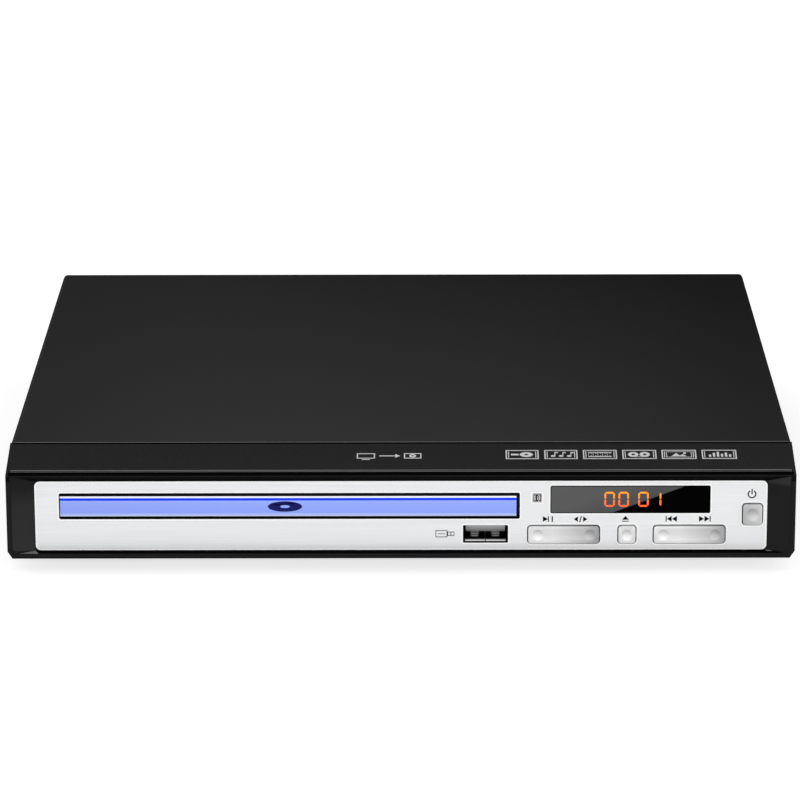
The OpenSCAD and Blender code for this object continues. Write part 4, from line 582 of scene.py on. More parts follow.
def studio():
    scene = bpy.context.scene
    scene.view_settings.view_transform = "Standard"
    world = bpy.data.worlds.new("pale studio")
    scene.world = world
    world.use_nodes = True
    tree = world.node_tree
    background = tree.nodes["Background"]
    background.inputs["Color"].default_value = (1, 1, 1, 1)
    strength = tree.nodes.new("ShaderNodeMapRange")
    strength.inputs["To Min"].default_value = WORLD_LIGHT
    strength.inputs["To Max"].default_value = WORLD_SEEN
    tree.links.new(seen(tree), strength.inputs["Value"])
    tree.links.new(strength.outputs["Result"], background.inputs["Strength"])

    pale = Finish("pale floor", even(0.86), 0.9, specular=0.0)
    pale.set("Emission Color", even(1))
    lift = pale.math("MULTIPLY", seen(pale.tree), FLOOR_LIFT)
    pale.link(lift, pale.shader.inputs["Emission Strength"])
    corners = [(x * FLOOR_HALF, y * FLOOR_HALF, FLOOR_DROP) for x, y in ((-1, -1), (1, -1), (1, 1), (-1, 1))]
    floor = bpy.data.objects.new("floor", mesh_of("floor", corners, [[0, 1, 2, 3]]))
    scene.collection.objects.link(floor)
    floor.data.materials.append(pale.material)

    for name, spot, size, power in LAMPS:
        lamp = bpy.data.lights.new(name, "AREA")
        lamp.shape = "RECTANGLE"
        lamp.size, lamp.size_y = size
        lamp.energy = power
        light = bpy.data.objects.new(name, lamp)
        scene.collection.objects.link(light)
        light.location = spot
        light.rotation_euler = (Vector(LAMP_AIM) - Vector(spot)).to_track_quat("-Z", "Y").to_euler()
        light.visible_camera = False

    camera = bpy.data.objects.new("camera", bpy.data.cameras.new("camera"))
    scene.collection.objects.link(camera)
    camera.data.lens = CAMERA_LENS
    camera.data.sensor_width = CAMERA_SENSOR
    camera.data.clip_end = 50.0
    turn = Matrix.Rotation(math.radians(CAMERA_TURN), 4, "Z")
    turn = turn @ Matrix.Rotation(math.radians(90 - CAMERA_DIP), 4, "X")
    roll = Matrix.Rotation(math.radians(CAMERA_ROLL), 4, "Z")
    camera.matrix_world = Matrix.Translation(Vector(CAMERA_PLACE) * MM) @ turn @ roll
    scene.camera = camera


studio()

# ---- The front and the case; each test takes a place on the player and a normal or an edge ----

def near_front(middle, edge):
    """Edges of the bezel that show from outside."""
    return middle.y < panel_low.y + 1.0 and edge.calc_length() > 0.25 * MM


def in_groove(middle, normal):
    return 1.0 < middle.y < 3.4 and middle.z > 24.7 and normal.z > 0.6


def groove_wall(middle, normal):
    """The front wall of the groove across the band."""
    return in_groove(middle, normal) and normal.y > 0.6


def groove_back(middle, normal):
    return in_groove(middle, normal) and normal.y < -0.6


def opening_wall(middle, normal):
    """The walls of the openings through the panel."""
    within = panel_low.x + 1 < middle.x < panel_high.x - 1 and panel_low.z + 1 < middle.z < panel_high.z - 1
    return abs(normal.y) < 0.1 and within


def recess_floor(middle, normal):
    return normal.z > 0.9 and middle.y < 4.3 and middle.z < 3.0


def upper_slope(middle, normal):
    """The recess's upper slope, the lip under it and the rim above it."""
    return middle.y < 4.3 and middle.z > 20.0 and (normal.z < -0.3 or (normal.y < -0.9 and middle.z > 23.5))


def left_slope(middle, normal):
    return middle.x < -100 and 0.3 < normal.x < 0.6 and normal.y < -0.8


def right_slope(middle, normal):
    return middle.x > 100 and -0.6 < normal.x < -0.3 and normal.y < -0.8


# The bezel's accents are painted light: highlight and shade in the groove, shadow on the recess floor, shade
# and light on the recess's slopes
eased("front_bezel", 0.14, "case", BEZEL, near_front, BEZEL_EDGE, (
    (GROOVE_HIGHLIGHT, groove_back), (SHADOW_BLACK, groove_wall), (SHADOW_BLACK, recess_floor),
    (UPPER_SLOPE_SHADE, upper_slope), (LEFT_SLOPE_LIGHT, left_slope), (RIGHT_SLOPE_LIGHT, right_slope)))
# The panel's face gets a painted highlight strip round every outline and painted shadow on the walls of its
# openings
rimmed("fascia_panel", 0.42, SILVER, EDGE_HIGHLIGHT, "case", ((SHADOW_BLACK, opening_wall),))
eased("tray_door", 0.12, "tray", DOOR)

# key, body, lower and upper edge, dimples from its middle, their radius, and its painted reflection tones at
# both ends
KEYS = (("play_rocker", "play_bar", 3.6, 8.8, (-7.4, 7.4), 1.65, (227, 227, 227), (152, 152, 153)),
        ("skip_rocker", "skip_bar", 3.6, 8.8, (-7.4, 7.4), 1.65, (227, 227, 227), (158, 158, 159)),
        ("eject_button", "eject_key", 3.6, 8.8, (0.0,), 1.65, (226, 226, 226), (220, 220, 221)),
        ("power_button", "power_key", 9.1, 15.3, (0.0,), 1.85, (184, 184, 185), (216, 216, 217)))
KEY_LEDGE = 0.9
for key, body, bottom, top, dishes, reach, light, dark in KEYS:
    key_low, key_high = limits(key)
    middle_x, middle_z = (key_low.x + key_high.x) / 2, (bottom + top) / 2
    title = key.replace("_", " ")
    # Painted reflection across each key, painted shade in its dimples
    satin = key_with_painted_light(title, key_low.x, key_high.x, light, dark)
    dimple = key_with_painted_light(title + " dish", key_low.x, key_high.x, light, dark, (middle_z, reach))

    def outline(middle, edge):
        inside = (key_low.x + KEY_LEDGE < middle.x < key_high.x - KEY_LEDGE
                  and bottom + KEY_LEDGE < middle.z < top - KEY_LEDGE)
        return middle.y < panel_low.y - 0.3 and not inside

    def dished(middle, normal):
        near = min(math.hypot(middle.x - middle_x - dish, middle.z - middle_z) for dish in dishes)
        return middle.y < panel_low.y and normal.y > -0.99999 and near < reach

    eased(key, 0.18, body, satin, outline, accents=((dimple, dished),))
# A strip of painted shadow round the display window
rimmed("display_window", 0.16, GLASS, SHADOW_BLACK, "case")
# The cover's rounded front edge takes the painted highlight
eased("top_cover", 0.3, "case", COVER, lambda m, e: m.y < cover_low.y + 0.01, COVER_EDGE_HIGHLIGHT)
eased("disc_tray", 0.25, "tray", moulded("tray plastic", grey(40, 3), 0.48, 0.3, 2200),
      lambda m, e: m.z > 15.0 and e.calc_length() > 0.8 * MM)

ACROSS = (900, 300, 900)
FINISHES = {
    "bottom_chassis": galvanised("galvanised sheet", srgb(168, 171, 175)),
    "rear_panel": galvanised("rear panel zinc", srgb(160, 163, 167)),
    "rubber_feet": moulded("foot rubber", grey(30, 2), 0.8, 0.1, 1500, 0.00006),
    "ir_window": moulded("infrared window", srgb(26, 8, 12), 0.15, 0.3, 1200, 0.000005),
    "front_board": circuit("brown board", srgb(118, 84, 42), srgb(150, 108, 58)),
    "led_display": moulded("display body", grey(38, 2), 0.5),
    "tact_switches": sheet_metal("switch metal", srgb(190, 192, 194), 0.35),
    "power_switch": moulded("white nylon", srgb(226, 226, 220), 0.4),
    "ir_receiver": moulded("receiver resin", srgb(34, 22, 24), 0.2, 0.4, 900),
    "usb_board": circuit("green board", srgb(38, 92, 50), srgb(58, 122, 66)),
    # Painted light on the memory socket's tongue: near black at the bottom, lighter towards the top
    "usb_tongue": banded("socket tongue with painted light", "Z", 6.0, 8.3, [
        (0.0, grey(20, 1)), (0.12, grey(96, 1)), (1.0, grey(196, 1))], 0.4, specular=0.1),
    "loader_frame": moulded("loader plastic", srgb(46, 47, 50), 0.5, 0.3, 1600),
    "loader_dampers": moulded("damper rubber", grey(56, 2), 0.75, 0.1, 1500, 0.00005),
    "loading_motor": sheet_metal("motor can", srgb(184, 186, 188), 0.25, 500, (1, 1, 6)),
    "motor_pulley": sheet_metal("pulley brass", srgb(206, 176, 104), 0.28, 800),
    "drive_belt": moulded("belt rubber", grey(22, 1), 0.7, 0.1, 2500, 0.00003),
    "pulley_gear": moulded("white acetal", srgb(232, 229, 218), 0.35, 0.4, 1200),
    "drive_gear": moulded("ivory acetal", srgb(230, 226, 212), 0.35, 0.4, 1200),
    "clamp_bridge": moulded("bridge plastic", srgb(44, 45, 48), 0.5, 0.3, 1600),
    "clamp_puck": moulded("clamp plastic", srgb(224, 224, 220), 0.4),
    "clamp_plate": sheet_metal("clamp steel", srgb(170, 172, 175), 0.3, 700),
    "cam_slider": moulded("cam acetal", srgb(234, 232, 224), 0.35, 0.4, 1200),
    "traverse_frame": sheet_metal("traverse steel", srgb(196, 198, 200), 0.34, 700),
    "guide_rods": brushed("ground rods", srgb(222, 224, 226), 0.14, (1600, 30, 1600)),
    "spindle_motor": sheet_metal("spindle motor can", srgb(180, 182, 185), 0.26, 500),
    "sled_motor": sheet_metal("stepper can", srgb(188, 190, 192), 0.26, 500),
    "pickup_sled": sheet_metal("die-cast zinc", srgb(150, 153, 157), 0.5, 1500, depth=0.00004),
    "lens_yoke": moulded("blackened yoke", srgb(62, 64, 68), 0.35, 0.5),
    "main_board": circuit("main board", srgb(34, 88, 48), srgb(54, 116, 62)),
    "main_chips": moulded("chip resin", grey(30, 2), 0.45),
    "board_connectors": moulded("connector nylon", srgb(228, 223, 208), 0.4),
    "av_jack_block": moulded("jack block plastic", grey(28, 2), 0.45),
    "av_jack_shells": brushed("jack nickel", srgb(206, 207, 208), 0.2, ACROSS),
    "av_jack_inserts": banded("jack inserts", "X", -20, 35, [
        (0.0, srgb(236, 200, 44)), (0.227, srgb(238, 236, 230)), (0.4636, srgb(204, 40, 36)),
        (0.7236, srgb(228, 122, 30))], 0.38, sharp=True),
    "mains_inlet": moulded("inlet plastic", grey(26, 2), 0.45),
    "inlet_pins": sheet_metal("inlet pins", srgb(206, 206, 204), 0.22),
    "power_board": circuit("phenolic board", srgb(170, 134, 76), srgb(188, 156, 98)),
    "heat_sink": brushed("heat sink", srgb(190, 192, 195), 0.35, (900, 900, 60)),
    "front_ribbon": striped("ribbon of ten wires", srgb(232, 232, 230), srgb(150, 152, 154), 0.6),
    "power_harness": moulded("red wires", srgb(200, 60, 52), 0.4),
    "mains_wires": moulded("mains wires", srgb(112, 66, 44), 0.4),
}
for node, finish in FINISHES.items():
    for entry in NODES[node].material_slots:
        entry.material = finish.material


# ---- The memory socket and the rear video socket ----

NICKEL = brushed("nickel shell", srgb(200, 202, 205), 0.25, ACROSS)
SHADED_NICKEL = moulded("shaded socket", grey(14, 1), 0.5, 0.05)
# A near white painted highlight
SOCKET_LIP_HIGHLIGHT = moulded("painted socket lip highlight", grey(252), 0.3, 0.4, depth=0.000004)
# Painted light: the springs are near white so they read lit inside the dark socket; the stripes follow their
# ridges
SPRING = Finish("tinned spring with painted light", grey(246, 1), 0.35, metallic=0.2, specular=0.3)
ridges = SPRING.stripes(1.1, "Y")
SPRING.paint(SPRING.ramp(ridges, [(0.25, grey(150, 2)), (0.6, grey(250))])).relief(ridges, 0.00005)
port_low, port_high = limits("usb_shell")
port_x, port_floor = centre(port_low, port_high)[0], port_low.z + 0.3


def spring_face(middle, normal):
    level = 7.0 < middle.y < 13.0 and 3.9 < middle.z < 4.8 and normal.z > 0.5
    return level and 1.5 < abs(middle.x - port_x) < 4.5


SOCKET_WALL = 0.2


def in_mouth(middle, low, high):
    """Within the sheet walls of a socket."""
    return (low.x + SOCKET_WALL < middle.x < high.x - SOCKET_WALL
            and low.z + SOCKET_WALL < middle.z < high.z - SOCKET_WALL)


def socket_lip(middle, normal):
    return normal.y < -0.9 and middle.y < port_low.y + 0.05


def socket_inside(middle, normal):
    return in_mouth(middle, port_low, port_high) and middle.y > port_low.y + 0.1


tinted("usb_shell", "case", "nickel", NICKEL, (SPRING, spring_face), (SHADED_NICKEL, socket_lip),
       (SHADED_NICKEL, socket_inside))

video_low, video_high = limits("hdmi_socket")
video_x, video_z = centre(video_low, video_high)
TONGUE_Z, TONGUE_HALF, CONTACT_TOP = video_z + 0.3, 0.45, 0.55
MOUTH_FLOOR = video_low.y + 2.0


def video_mouth(middle, normal):
    """The walls and the floor of the rear video socket's mouth."""
    return in_mouth(middle, video_low, video_high) and middle.y < video_high.y - 0.1


tinted("hdmi_socket", "case", "nickel", brushed("socket shell", srgb(194, 196, 199), 0.26, ACROSS),
       (moulded("socket insulator", grey(24, 2), 0.5, 0.1), video_mouth), name="video_socket_finished")
# The fold of the socket's floor sheet at its mouth, split in the middle, carrying a painted highlight line
fold = [bar(port_low.x + 0.75, port_floor, port_x - 0.14, port_floor + 0.28),
        bar(port_x + 0.14, port_floor, port_high.x - 0.75, port_floor + 0.28)]
sign("socket_floor_seam_highlight", fold, on_face(port_low.y + 0.05, 1), SOCKET_LIP_HIGHLIGHT, 1.0)
tongue = [bar(video_x - 5.2, TONGUE_Z - TONGUE_HALF, video_x + 5.2, TONGUE_Z + TONGUE_HALF)]
sign("video_socket_tongue", tongue, on_face(MOUTH_FLOOR - 0.05, 1),
     moulded("tongue plastic", grey(34, 2), 0.45, 0.2), 8.6)
contacts = [bar(video_x + k - 0.2, TONGUE_Z + start, video_x + k + 0.2, TONGUE_Z + end)
            for start, end in ((-CONTACT_TOP, -0.44), (0.44, CONTACT_TOP)) for k in range(-4, 5)]
sign("video_socket_contacts", contacts, on_face(MOUTH_FLOOR, 1),
     sheet_metal("gilt contacts", srgb(226, 188, 96), 0.3, 1500), 8.2)

# ---- The capacitors, the transformer, the turntable and the lens ----

coil_low, coil_high = limits("transformer")
table_high = limits("turntable")[1]
lens_low, lens_high = limits("lens_holder")
LENS = Finish("coated lens", srgb(60, 40, 120), 0.04, specular=0.8).grain(300, 0.000002, 0.06, 0.1)


def glass_bead(middle, normal):
    """The lens's dome on the holder."""
    away = math.hypot(middle.x - (lens_low.x + lens_high.x) / 2, middle.y - (lens_low.y + lens_high.y) / 2)
    return middle.z > lens_high.z - 1.0 and normal.z > 0.05 and away < 2.4


tinted("capacitors", "case", "cap_sleeve", moulded("capacitor sleeve", srgb(34, 46, 66), 0.32, 0.5),
       (sheet_metal("capacitor top", srgb(198, 200, 202), 0.35, 700), lambda m, n: n.z > 0.9),
       (moulded("capacitor stripe", srgb(190, 194, 200), 0.4), lambda m, n: n.x < -0.92))
tinted("transformer", "case", "copper_tape", moulded("winding tape", srgb(222, 170, 60), 0.4),
       (moulded("ferrite core", grey(58, 2), 0.7, 0.2, 900),
        lambda m, n: m.z > coil_high.z - 4.2 or m.z < coil_low.z + 3.0))
tinted("turntable", "spindle", "black_plastic", moulded("turntable plastic", srgb(36, 37, 40), 0.5),
       (moulded("turntable rubber", grey(20, 1), 0.85, 0.05, 1800, 0.00005),
        lambda m, n: n.z > 0.9 and table_high.z - 7.0 < m.z < table_high.z - 2.0))
tinted("lens_holder", "lens", "lens_glass", moulded("lens holder plastic", srgb(28, 40, 62), 0.3, 0.5),
       (LENS, glass_bead), (moulded("coil copper", srgb(188, 104, 58), 0.35, 0.4, 3200),
                            lambda m, n: m.z < lens_high.z - 2.2 and abs(n.z) < 0.3))

# ---- Screws, chip legs and the lead screw's thread, made by node trees ----


def islands(node):
    """The boxes of a node's separate solids, as pairs of corners in millimetres on the player."""
    shell = copy_of(node)
    boxes, met = [], set()
    for first in shell.verts:
        if first in met:
            continue
        queue, group = [first], []
        met.add(first)
        while queue:
            vertex = queue.pop()
            group.append(on_player(vertex.co))
            for edge in vertex.link_edges:
                other = edge.other_vert(vertex)
                if other not in met:
                    met.add(other)
                    queue.append(other)
        boxes.append([Vector([pick(p[i] for p in group) for i in range(3)]) for pick in (min, max)])
    shell.free()
    return boxes


class Tree:
    """A geometry node tree whose sizes are named inputs."""

    def __init__(self, name, finish, **sizes):
        self.tree = bpy.data.node_groups.new(name, "GeometryNodeTree")
        face = self.tree.interface
        face.new_socket("Geometry", in_out="INPUT", socket_type="NodeSocketGeometry")
        self.keys, self.sizes = {}, sizes
        for key, value in sizes.items():
            kind = "NodeSocketInt" if isinstance(value, int) else "NodeSocketFloat"
            socket = face.new_socket(key.replace("_", " ").capitalize(), in_out="INPUT", socket_type=kind)
            socket.default_value = value
            self.keys[key] = socket.identifier
        face.new_socket("Geometry", in_out="OUTPUT", socket_type="NodeSocketGeometry")
        self.start = self.tree.nodes.new("NodeGroupInput")
        self.end = self.tree.nodes.new("NodeGroupOutput")
        self.finish = finish

    def node(self, kind, values=(), **options):
        """A node; values are constants or sockets by input, options are its settings."""
        node = self.tree.nodes.new(kind)
        for key, value in options.items():
            setattr(node, key, value)
        for socket, value in dict(values).items():
            if isinstance(value, bpy.types.NodeSocket):
                self.tree.links.new(value, node.inputs[socket])
            else:
                node.inputs[socket].default_value = value
        return node

    def size(self, key):
        return self.start.outputs[list(self.keys).index(key) + 1]

    def attribute(self, name, kind="FLOAT"):
        node = self.node("GeometryNodeInputNamedAttribute", {"Name": name}, data_type=kind)
        return node.outputs["Attribute"]

    def times(self, value, factor):
        return self.node("ShaderNodeMath", {0: value, 1: factor}, operation="MULTIPLY").outputs[0]

    def vector(self, **axes):
        return self.node("ShaderNodeCombineXYZ", axes).outputs[0]

    def block(self, x, y, z):
        return self.node("GeometryNodeMeshCube", {"Size": self.vector(X=x, Y=y, Z=z)}).outputs["Mesh"]

    def rod(self, sides, radius, length):
        values = {"Vertices": sides, "Radius": radius, "Depth": length}
        return self.node("GeometryNodeMeshCylinder", values).outputs["Mesh"]

    def moved(self, shape, to, turn=(0, 0, 0)):
        values = {"Geometry": shape, "Translation": to, "Rotation": turn}
        return self.node("GeometryNodeTransform", values).outputs[0]

    def combined(self, operation, parts, values=()):
        """A boolean of the parts, or of the shape in values with the parts."""
        node = self.node("GeometryNodeMeshBoolean", values, operation=operation)
        for part in parts:
            self.tree.links.new(part, node.inputs[1])
        return node.outputs[0]

    def repeated(self, shape, **values):
        """The shape at every seed."""
        values.update({"Points": self.start.outputs[0], "Instance": shape})
        return self.node("GeometryNodeInstanceOnPoints", values).outputs[0]

    def join(self, *parts):
        joined = self.tree.nodes.new("GeometryNodeJoinGeometry")
        for part in parts:
            self.tree.links.new(part, joined.inputs[0])
        return joined.outputs[0]

    def close(self, shape):
        """Ends the tree with Realize Instances and Set Material."""
        real = self.node("GeometryNodeRealizeInstances", {0: shape})
        values = {"Geometry": real.outputs[0], "Material": self.finish.material}
        paint = self.node("GeometryNodeSetMaterial", values)
        self.tree.links.new(paint.outputs[0], self.end.inputs[0])
        return self

    def grow(self, name, seed_mesh):
        """Runs the tree on a mesh and gives the plain mesh that it makes."""
        seed = bpy.data.objects.new(name + "_seed", seed_mesh)
        bpy.context.scene.collection.objects.link(seed)
        modifier = seed.modifiers.new(name, "NODES")
        modifier.node_group = self.tree
        for key, value in self.sizes.items():
            modifier[self.keys[key]] = value
        mesh = plain_mesh(seed)
        bpy.data.objects.remove(seed)
        mesh.name = name
        return closed(mesh)


def seeds(name, places, turns, **numbers):
    """Loose points that carry a turn and a number each for a node tree."""
    mesh = bpy.data.meshes.new(name)
    mesh.from_pydata([tuple(p) for p in places], [], [])
    turn = mesh.attributes.new("turn", "FLOAT_VECTOR", "POINT")
    for item, value in zip(turn.data, turns):
        item.vector = value
    for key, values in numbers.items():
        layer = mesh.attributes.new(key, "FLOAT", "POINT")
        for item, value in zip(layer.data, values):
            item.value = value
    return mesh


HEAD_RADIUS, HEAD_HEIGHT, SHANK_RADIUS = 2.6, 1.6, 1.2
SKIRT_SHARE, CROWN_SHARE = 0.55, 0.45
TO_REAR = (-math.pi / 2, 0.0, 0.0)
UPRIGHT = (0.0, 0.0, 0.0)


def screw_tree():
    """Pan-head screws with a cross recess; a point stands under each head, and length is its shank's."""
    tree = Tree("pan_head_screws", sheet_metal("zinc screws", srgb(198, 200, 202), 0.3, 1200), sides=28,
                head_radius=HEAD_RADIUS * MM, head_height=HEAD_HEIGHT * MM, shank_radius=SHANK_RADIUS * MM)
    sides, radius, height = tree.size("sides"), tree.size("head_radius"), tree.size("head_height")
    skirt_height = tree.times(height, SKIRT_SHARE)
    skirt = tree.moved(tree.rod(sides, radius, skirt_height), tree.vector(Z=tree.times(skirt_height, 0.5)))
    crown = tree.node("GeometryNodeMeshCone", {
        "Vertices": sides, "Radius Top": tree.times(radius, 0.74), "Radius Bottom": radius,
        "Depth": tree.times(height, CROWN_SHARE)}).outputs["Mesh"]
    crown = tree.moved(crown, tree.vector(Z=skirt_height))
    long_side, short_side = tree.times(radius, 1.15), tree.times(radius, 0.24)
    slots = [tree.moved(tree.block(x, y, height), tree.vector(Z=height))
             for x, y in ((long_side, short_side), (short_side, long_side))]
    head = tree.combined("DIFFERENCE", slots, {0: tree.combined("UNION", (skirt, crown))})
    shank = tree.moved(tree.rod(20, tree.size("shank_radius"), 1.0), (0, 0, -0.5))
    stretch = tree.vector(X=1.0, Y=1.0, Z=tree.attribute("length"))
    turn = tree.attribute("turn", "FLOAT_VECTOR")
    heads = tree.repeated(head, Rotation=turn)
    return tree.close(tree.join(heads, tree.repeated(shank, Rotation=turn, Scale=stretch)))


SCREWS = screw_tree()
for node in ("case_screws", "loader_screws"):
    places, turns, lengths = [], [], []
    for low, high in islands(node):
        middle, extent = (low + high) / 2, high - low
        if extent.y > extent.z and abs(extent.x - extent.z) < 0.3:
            places.append(place(middle.x, high.y - HEAD_HEIGHT, middle.z))
            turns.append(TO_REAR)
            lengths.append((extent.y - HEAD_HEIGHT) * MM)
        else:
            places.append(place(middle.x, middle.y, high.z - HEAD_HEIGHT))
            turns.append(UPRIGHT)
            lengths.append((extent.z - HEAD_HEIGHT) * MM)
    name = node + "_threaded"
    mesh = SCREWS.grow(name, seeds(node + "_places", places, turns, length=lengths))
    settle(mesh, name, [SCREWS.finish], "case", (node,))


def leg_tree():
    """Gull-wing chip legs, one at each point."""
    tree = Tree("chip_legs", sheet_metal("tinned legs", srgb(206, 208, 210), 0.3, 1500),
                width=0.42 * MM, reach=0.9 * MM, rise=0.8 * MM, thickness=0.16 * MM)
    width, reach, rise, thickness = [tree.size(key) for key in ("width", "reach", "rise", "thickness")]
    foot_at = tree.vector(Y=tree.times(reach, 0.5), Z=tree.times(thickness, 0.5))
    foot = tree.moved(tree.block(width, reach, thickness), foot_at)
    post = tree.moved(tree.block(width, thickness, rise), tree.vector(Z=tree.times(rise, 0.5)))
    return tree.close(tree.repeated(tree.join(foot, post), Rotation=tree.attribute("turn", "FLOAT_VECTOR")))


LEG_PITCH, SMALLEST_CHIP, TALLEST_CHIP = 1.27, 6, 4
places, turns = [], []
for low, high in islands("main_chips"):
    extent = high - low
    if min(extent.x, extent.y) < SMALLEST_CHIP or extent.z > TALLEST_CHIP:
        continue
    count = int((extent.x - 1.2) / LEG_PITCH)
    for step in range(count):
        x = (low.x + high.x) / 2 + (step - (count - 1) / 2) * LEG_PITCH
        places += [place(x, high.y, low.z), place(x, low.y, low.z)]
        turns += [UPRIGHT, (0.0, 0.0, math.pi)]
LEGS = leg_tree()
mesh = LEGS.grow("chip_legs", seeds("leg_places", places, turns))
settle(mesh, "chip_legs", [LEGS.finish], "case", smooth=False)

PITCH, JOURNAL = 3.0, 1.5
rod_low, rod_high = limits("lead_screw")
ROD_LENGTH = rod_high.y - rod_low.y
THREAD_LENGTH = ROD_LENGTH - 2 * JOURNAL


def thread_tree():
    """A helical ridge on a core, both from the seed towards the rear."""
    tree = Tree("lead_screw_thread", sheet_metal("lead screw brass", srgb(206, 184, 124), 0.28, 900),
                core=1.18 * MM, crest=1.4 * MM, turns=THREAD_LENGTH / PITCH, height=THREAD_LENGTH * MM,
                length=ROD_LENGTH * MM, steps=22)
    core, length = tree.size("core"), tree.size("length")
    ridge = tree.node("ShaderNodeMath", {0: tree.size("crest"), 1: core}, operation="SUBTRACT").outputs[0]
    spiral = tree.node("GeometryNodeCurveSpiral", {
        "Resolution": tree.size("steps"), "Rotations": tree.size("turns"), "Start Radius": core,
        "End Radius": core, "Height": tree.size("height")}).outputs[0]
    profile = tree.node("GeometryNodeCurvePrimitiveCircle", {"Resolution": 6, "Radius": ridge}).outputs[0]
    values = {"Curve": spiral, "Profile Curve": profile, "Fill Caps": True}
    thread = tree.node("GeometryNodeCurveToMesh", values).outputs[0]
    thread = tree.moved(thread, tree.vector(Y=JOURNAL * MM), TO_REAR)
    rod = tree.moved(tree.rod(24, core, length), tree.vector(Y=tree.times(length, 0.5)), TO_REAR)
    return tree.close(tree.join(tree.repeated(thread), tree.repeated(rod)))


THREAD = thread_tree()
rod_x, rod_z = centre(rod_low, rod_high)
mesh = THREAD.grow("lead_screw_threaded", seeds("rod_end", [place(rod_x, rod_low.y, rod_z)], [UPRIGHT]))
settle(mesh, "lead_screw_threaded", [THREAD.finish], "screw", ("lead_screw",))


# ---- Signs on the face ----

def segment(x0, z0, x1, z1, width):
    """A display segment between two points, pointed at both ends."""
    start, end = Vector((x0, z0)), Vector((x1, z1))
    step = (end - start).normalized() * width / 2
    side = Vector((-step.y, step.x))
    points = [start, start + step + side, end - step + side, end, end - step - side, start + step - side]
    return [(p.x, p.y) for p in points]


def figure(x, z, w, h, lit):
    """A seven-segment figure; lit names its bars from the top, clockwise, then the middle."""
    t, m = 0.5, h / 2
    gap = 0.07
    left, right, low, top = t / 2, w - t / 2, t / 2, h - t / 2
    lines = {"a": (left, top, right, top), "b": (right, top, right, m), "c": (right, m, right, low),
             "d": (left, low, right, low), "e": (left, low, left, m), "f": (left, m, left, top),
             "g": (left, m, right, m)}
    shapes = []
    for name in lit:
        x0, z0, x1, z1 = lines[name]
        along = Vector((x1 - x0, z1 - z0)).normalized() * gap
        shapes.append(segment(x + x0 + along.x, z + z0 + along.y, x + x1 - along.x, z + z1 - along.y, t))
    return shapes


def arrow(back, tip, low, high):
    """A triangle from its upright back to its tip."""
    return [(back, low), (tip, (low + high) / 2), (back, high)]


def dots(u, v, wide, high, sides):
    """A round or oval spot."""
    angles = [2 * math.pi * k / sides for k in range(sides)]
    return [(u + wide * math.cos(a), v + high * math.sin(a)) for a in angles]


def disc_mark(u, v, r, tall=1.0, hole=0.3, steps=28):
    """A flat ring for a disc, squeezed in height by tall."""
    flat = ring(0.0, 0.0, r * hole, r * (1 - hole), steps=steps)
    return [[(u + a, v + b * tall) for a, b in shape] for shape in flat]


def note_mark(u, v, h):
    """A musical note: a stem, a flag and a round head."""
    return [bar(u + 0.55 * h, v + 0.2 * h, u + 0.65 * h, v + h),
            bar(u + 0.65 * h, v + 0.8 * h, u + 0.95 * h, v + h),
            dots(u + 0.4 * h, v + 0.2 * h, 0.27 * h, 0.18 * h, 14)]


figures = []
for left, lit in ((58.1, "abcdef"), (62.1, "abcdef"), (67.75, "abcdef"), (71.35, "bc")):
    figures += figure(left, 14.5, 3.0, 4.45, lit)
sign("clock_figures", figures, on_face(window_low.y), SEGMENTS, 0.02)

LOW, HIGH = 9.95, 11.65
play = [arrow(40.6, 42.045, LOW, HIGH), bar(42.0, LOW, 42.3, HIGH), bar(43.1, LOW, 43.45, HIGH)]
both_sides = [arrow(50.6, 49.4, LOW, 11.55), [(50.95, 9.8), (51.25, 9.8), (51.75, 11.7), (51.45, 11.7)],
              arrow(52.1, 53.3, LOW, 11.55)]
eject = [[(63.2, 10.55), (65.2, 10.55), (64.2, 11.7)], bar(63.2, 10.0, 65.2, 10.25)]
back = [bar(75.66, LOW, 75.96, HIGH), arrow(77.4, 76.0, LOW, HIGH), arrow(78.9, 77.45, LOW, HIGH)]
ahead = [bar(88.24, LOW, 88.54, HIGH), arrow(86.75, 88.2, LOW, HIGH), arrow(85.2, 86.7, LOW, HIGH)]
power = ring(100.2, 18.2, 0.9, 0.36, 120, 420, 40) + [bar(100.02, 18.1, 100.38, 19.75)]
sign("key_signs", play + both_sides + eject + back + ahead + power, on_face(panel_low.y), PRINT)

stick = outline_box(9.9, 5.35, 13.3, 7.45, 0.22) + outline_box(13.3, 5.75, 15.3, 7.05, 0.2)
stick += [bar(13.95, 6.55, 14.6, 6.75), bar(13.95, 6.05, 14.6, 6.25), bar(10.5, 6.3, 12.7, 6.5)]
sign("memory_stick_sign", stick, on_face(panel_low.y), GREY_PRINT)

ir_low, ir_high = limits("ir_window")
ir_u, ir_v = centre(ir_low, ir_high)
remote = outline_box(ir_low.x + 0.02, ir_low.z + 0.02, ir_high.x - 0.02, ir_high.z - 0.02, 0.14)
remote += [bar(ir_u - 0.8, ir_v - 0.75, ir_u - 0.55, ir_v + 0.75)]
remote += ring(ir_u - 0.3, ir_v, 0.42, 0.2, -60, 60, 30) + ring(ir_u - 0.3, ir_v, 0.92, 0.2, -55, 55, 30)
sign("remote_sign", remote, on_face(ir_low.y), WHITE_PRINT)

disc_sign = disc_mark(-33.1, 14.65, 4.9, 0.32, 0.28, 40)
disc_sign += [[(-36.2, 14.9), (-30.0, 15.5), (-30.2, 15.75), (-36.2, 15.2)]]
sign("door_disc_sign", disc_sign, on_face(door_low.y), NAVY_PRINT, body="tray")

# ---- Marks on the sloped band ----

BAND_SLOPE = math.atan2(BAND_TOP - RIM_TOP, BAND_DEPTH)
BAND_HALF, GROOVE_BACK = 111.8, 2.75
BOX_LOW, BOX_HIGH = 8.5, 13.15


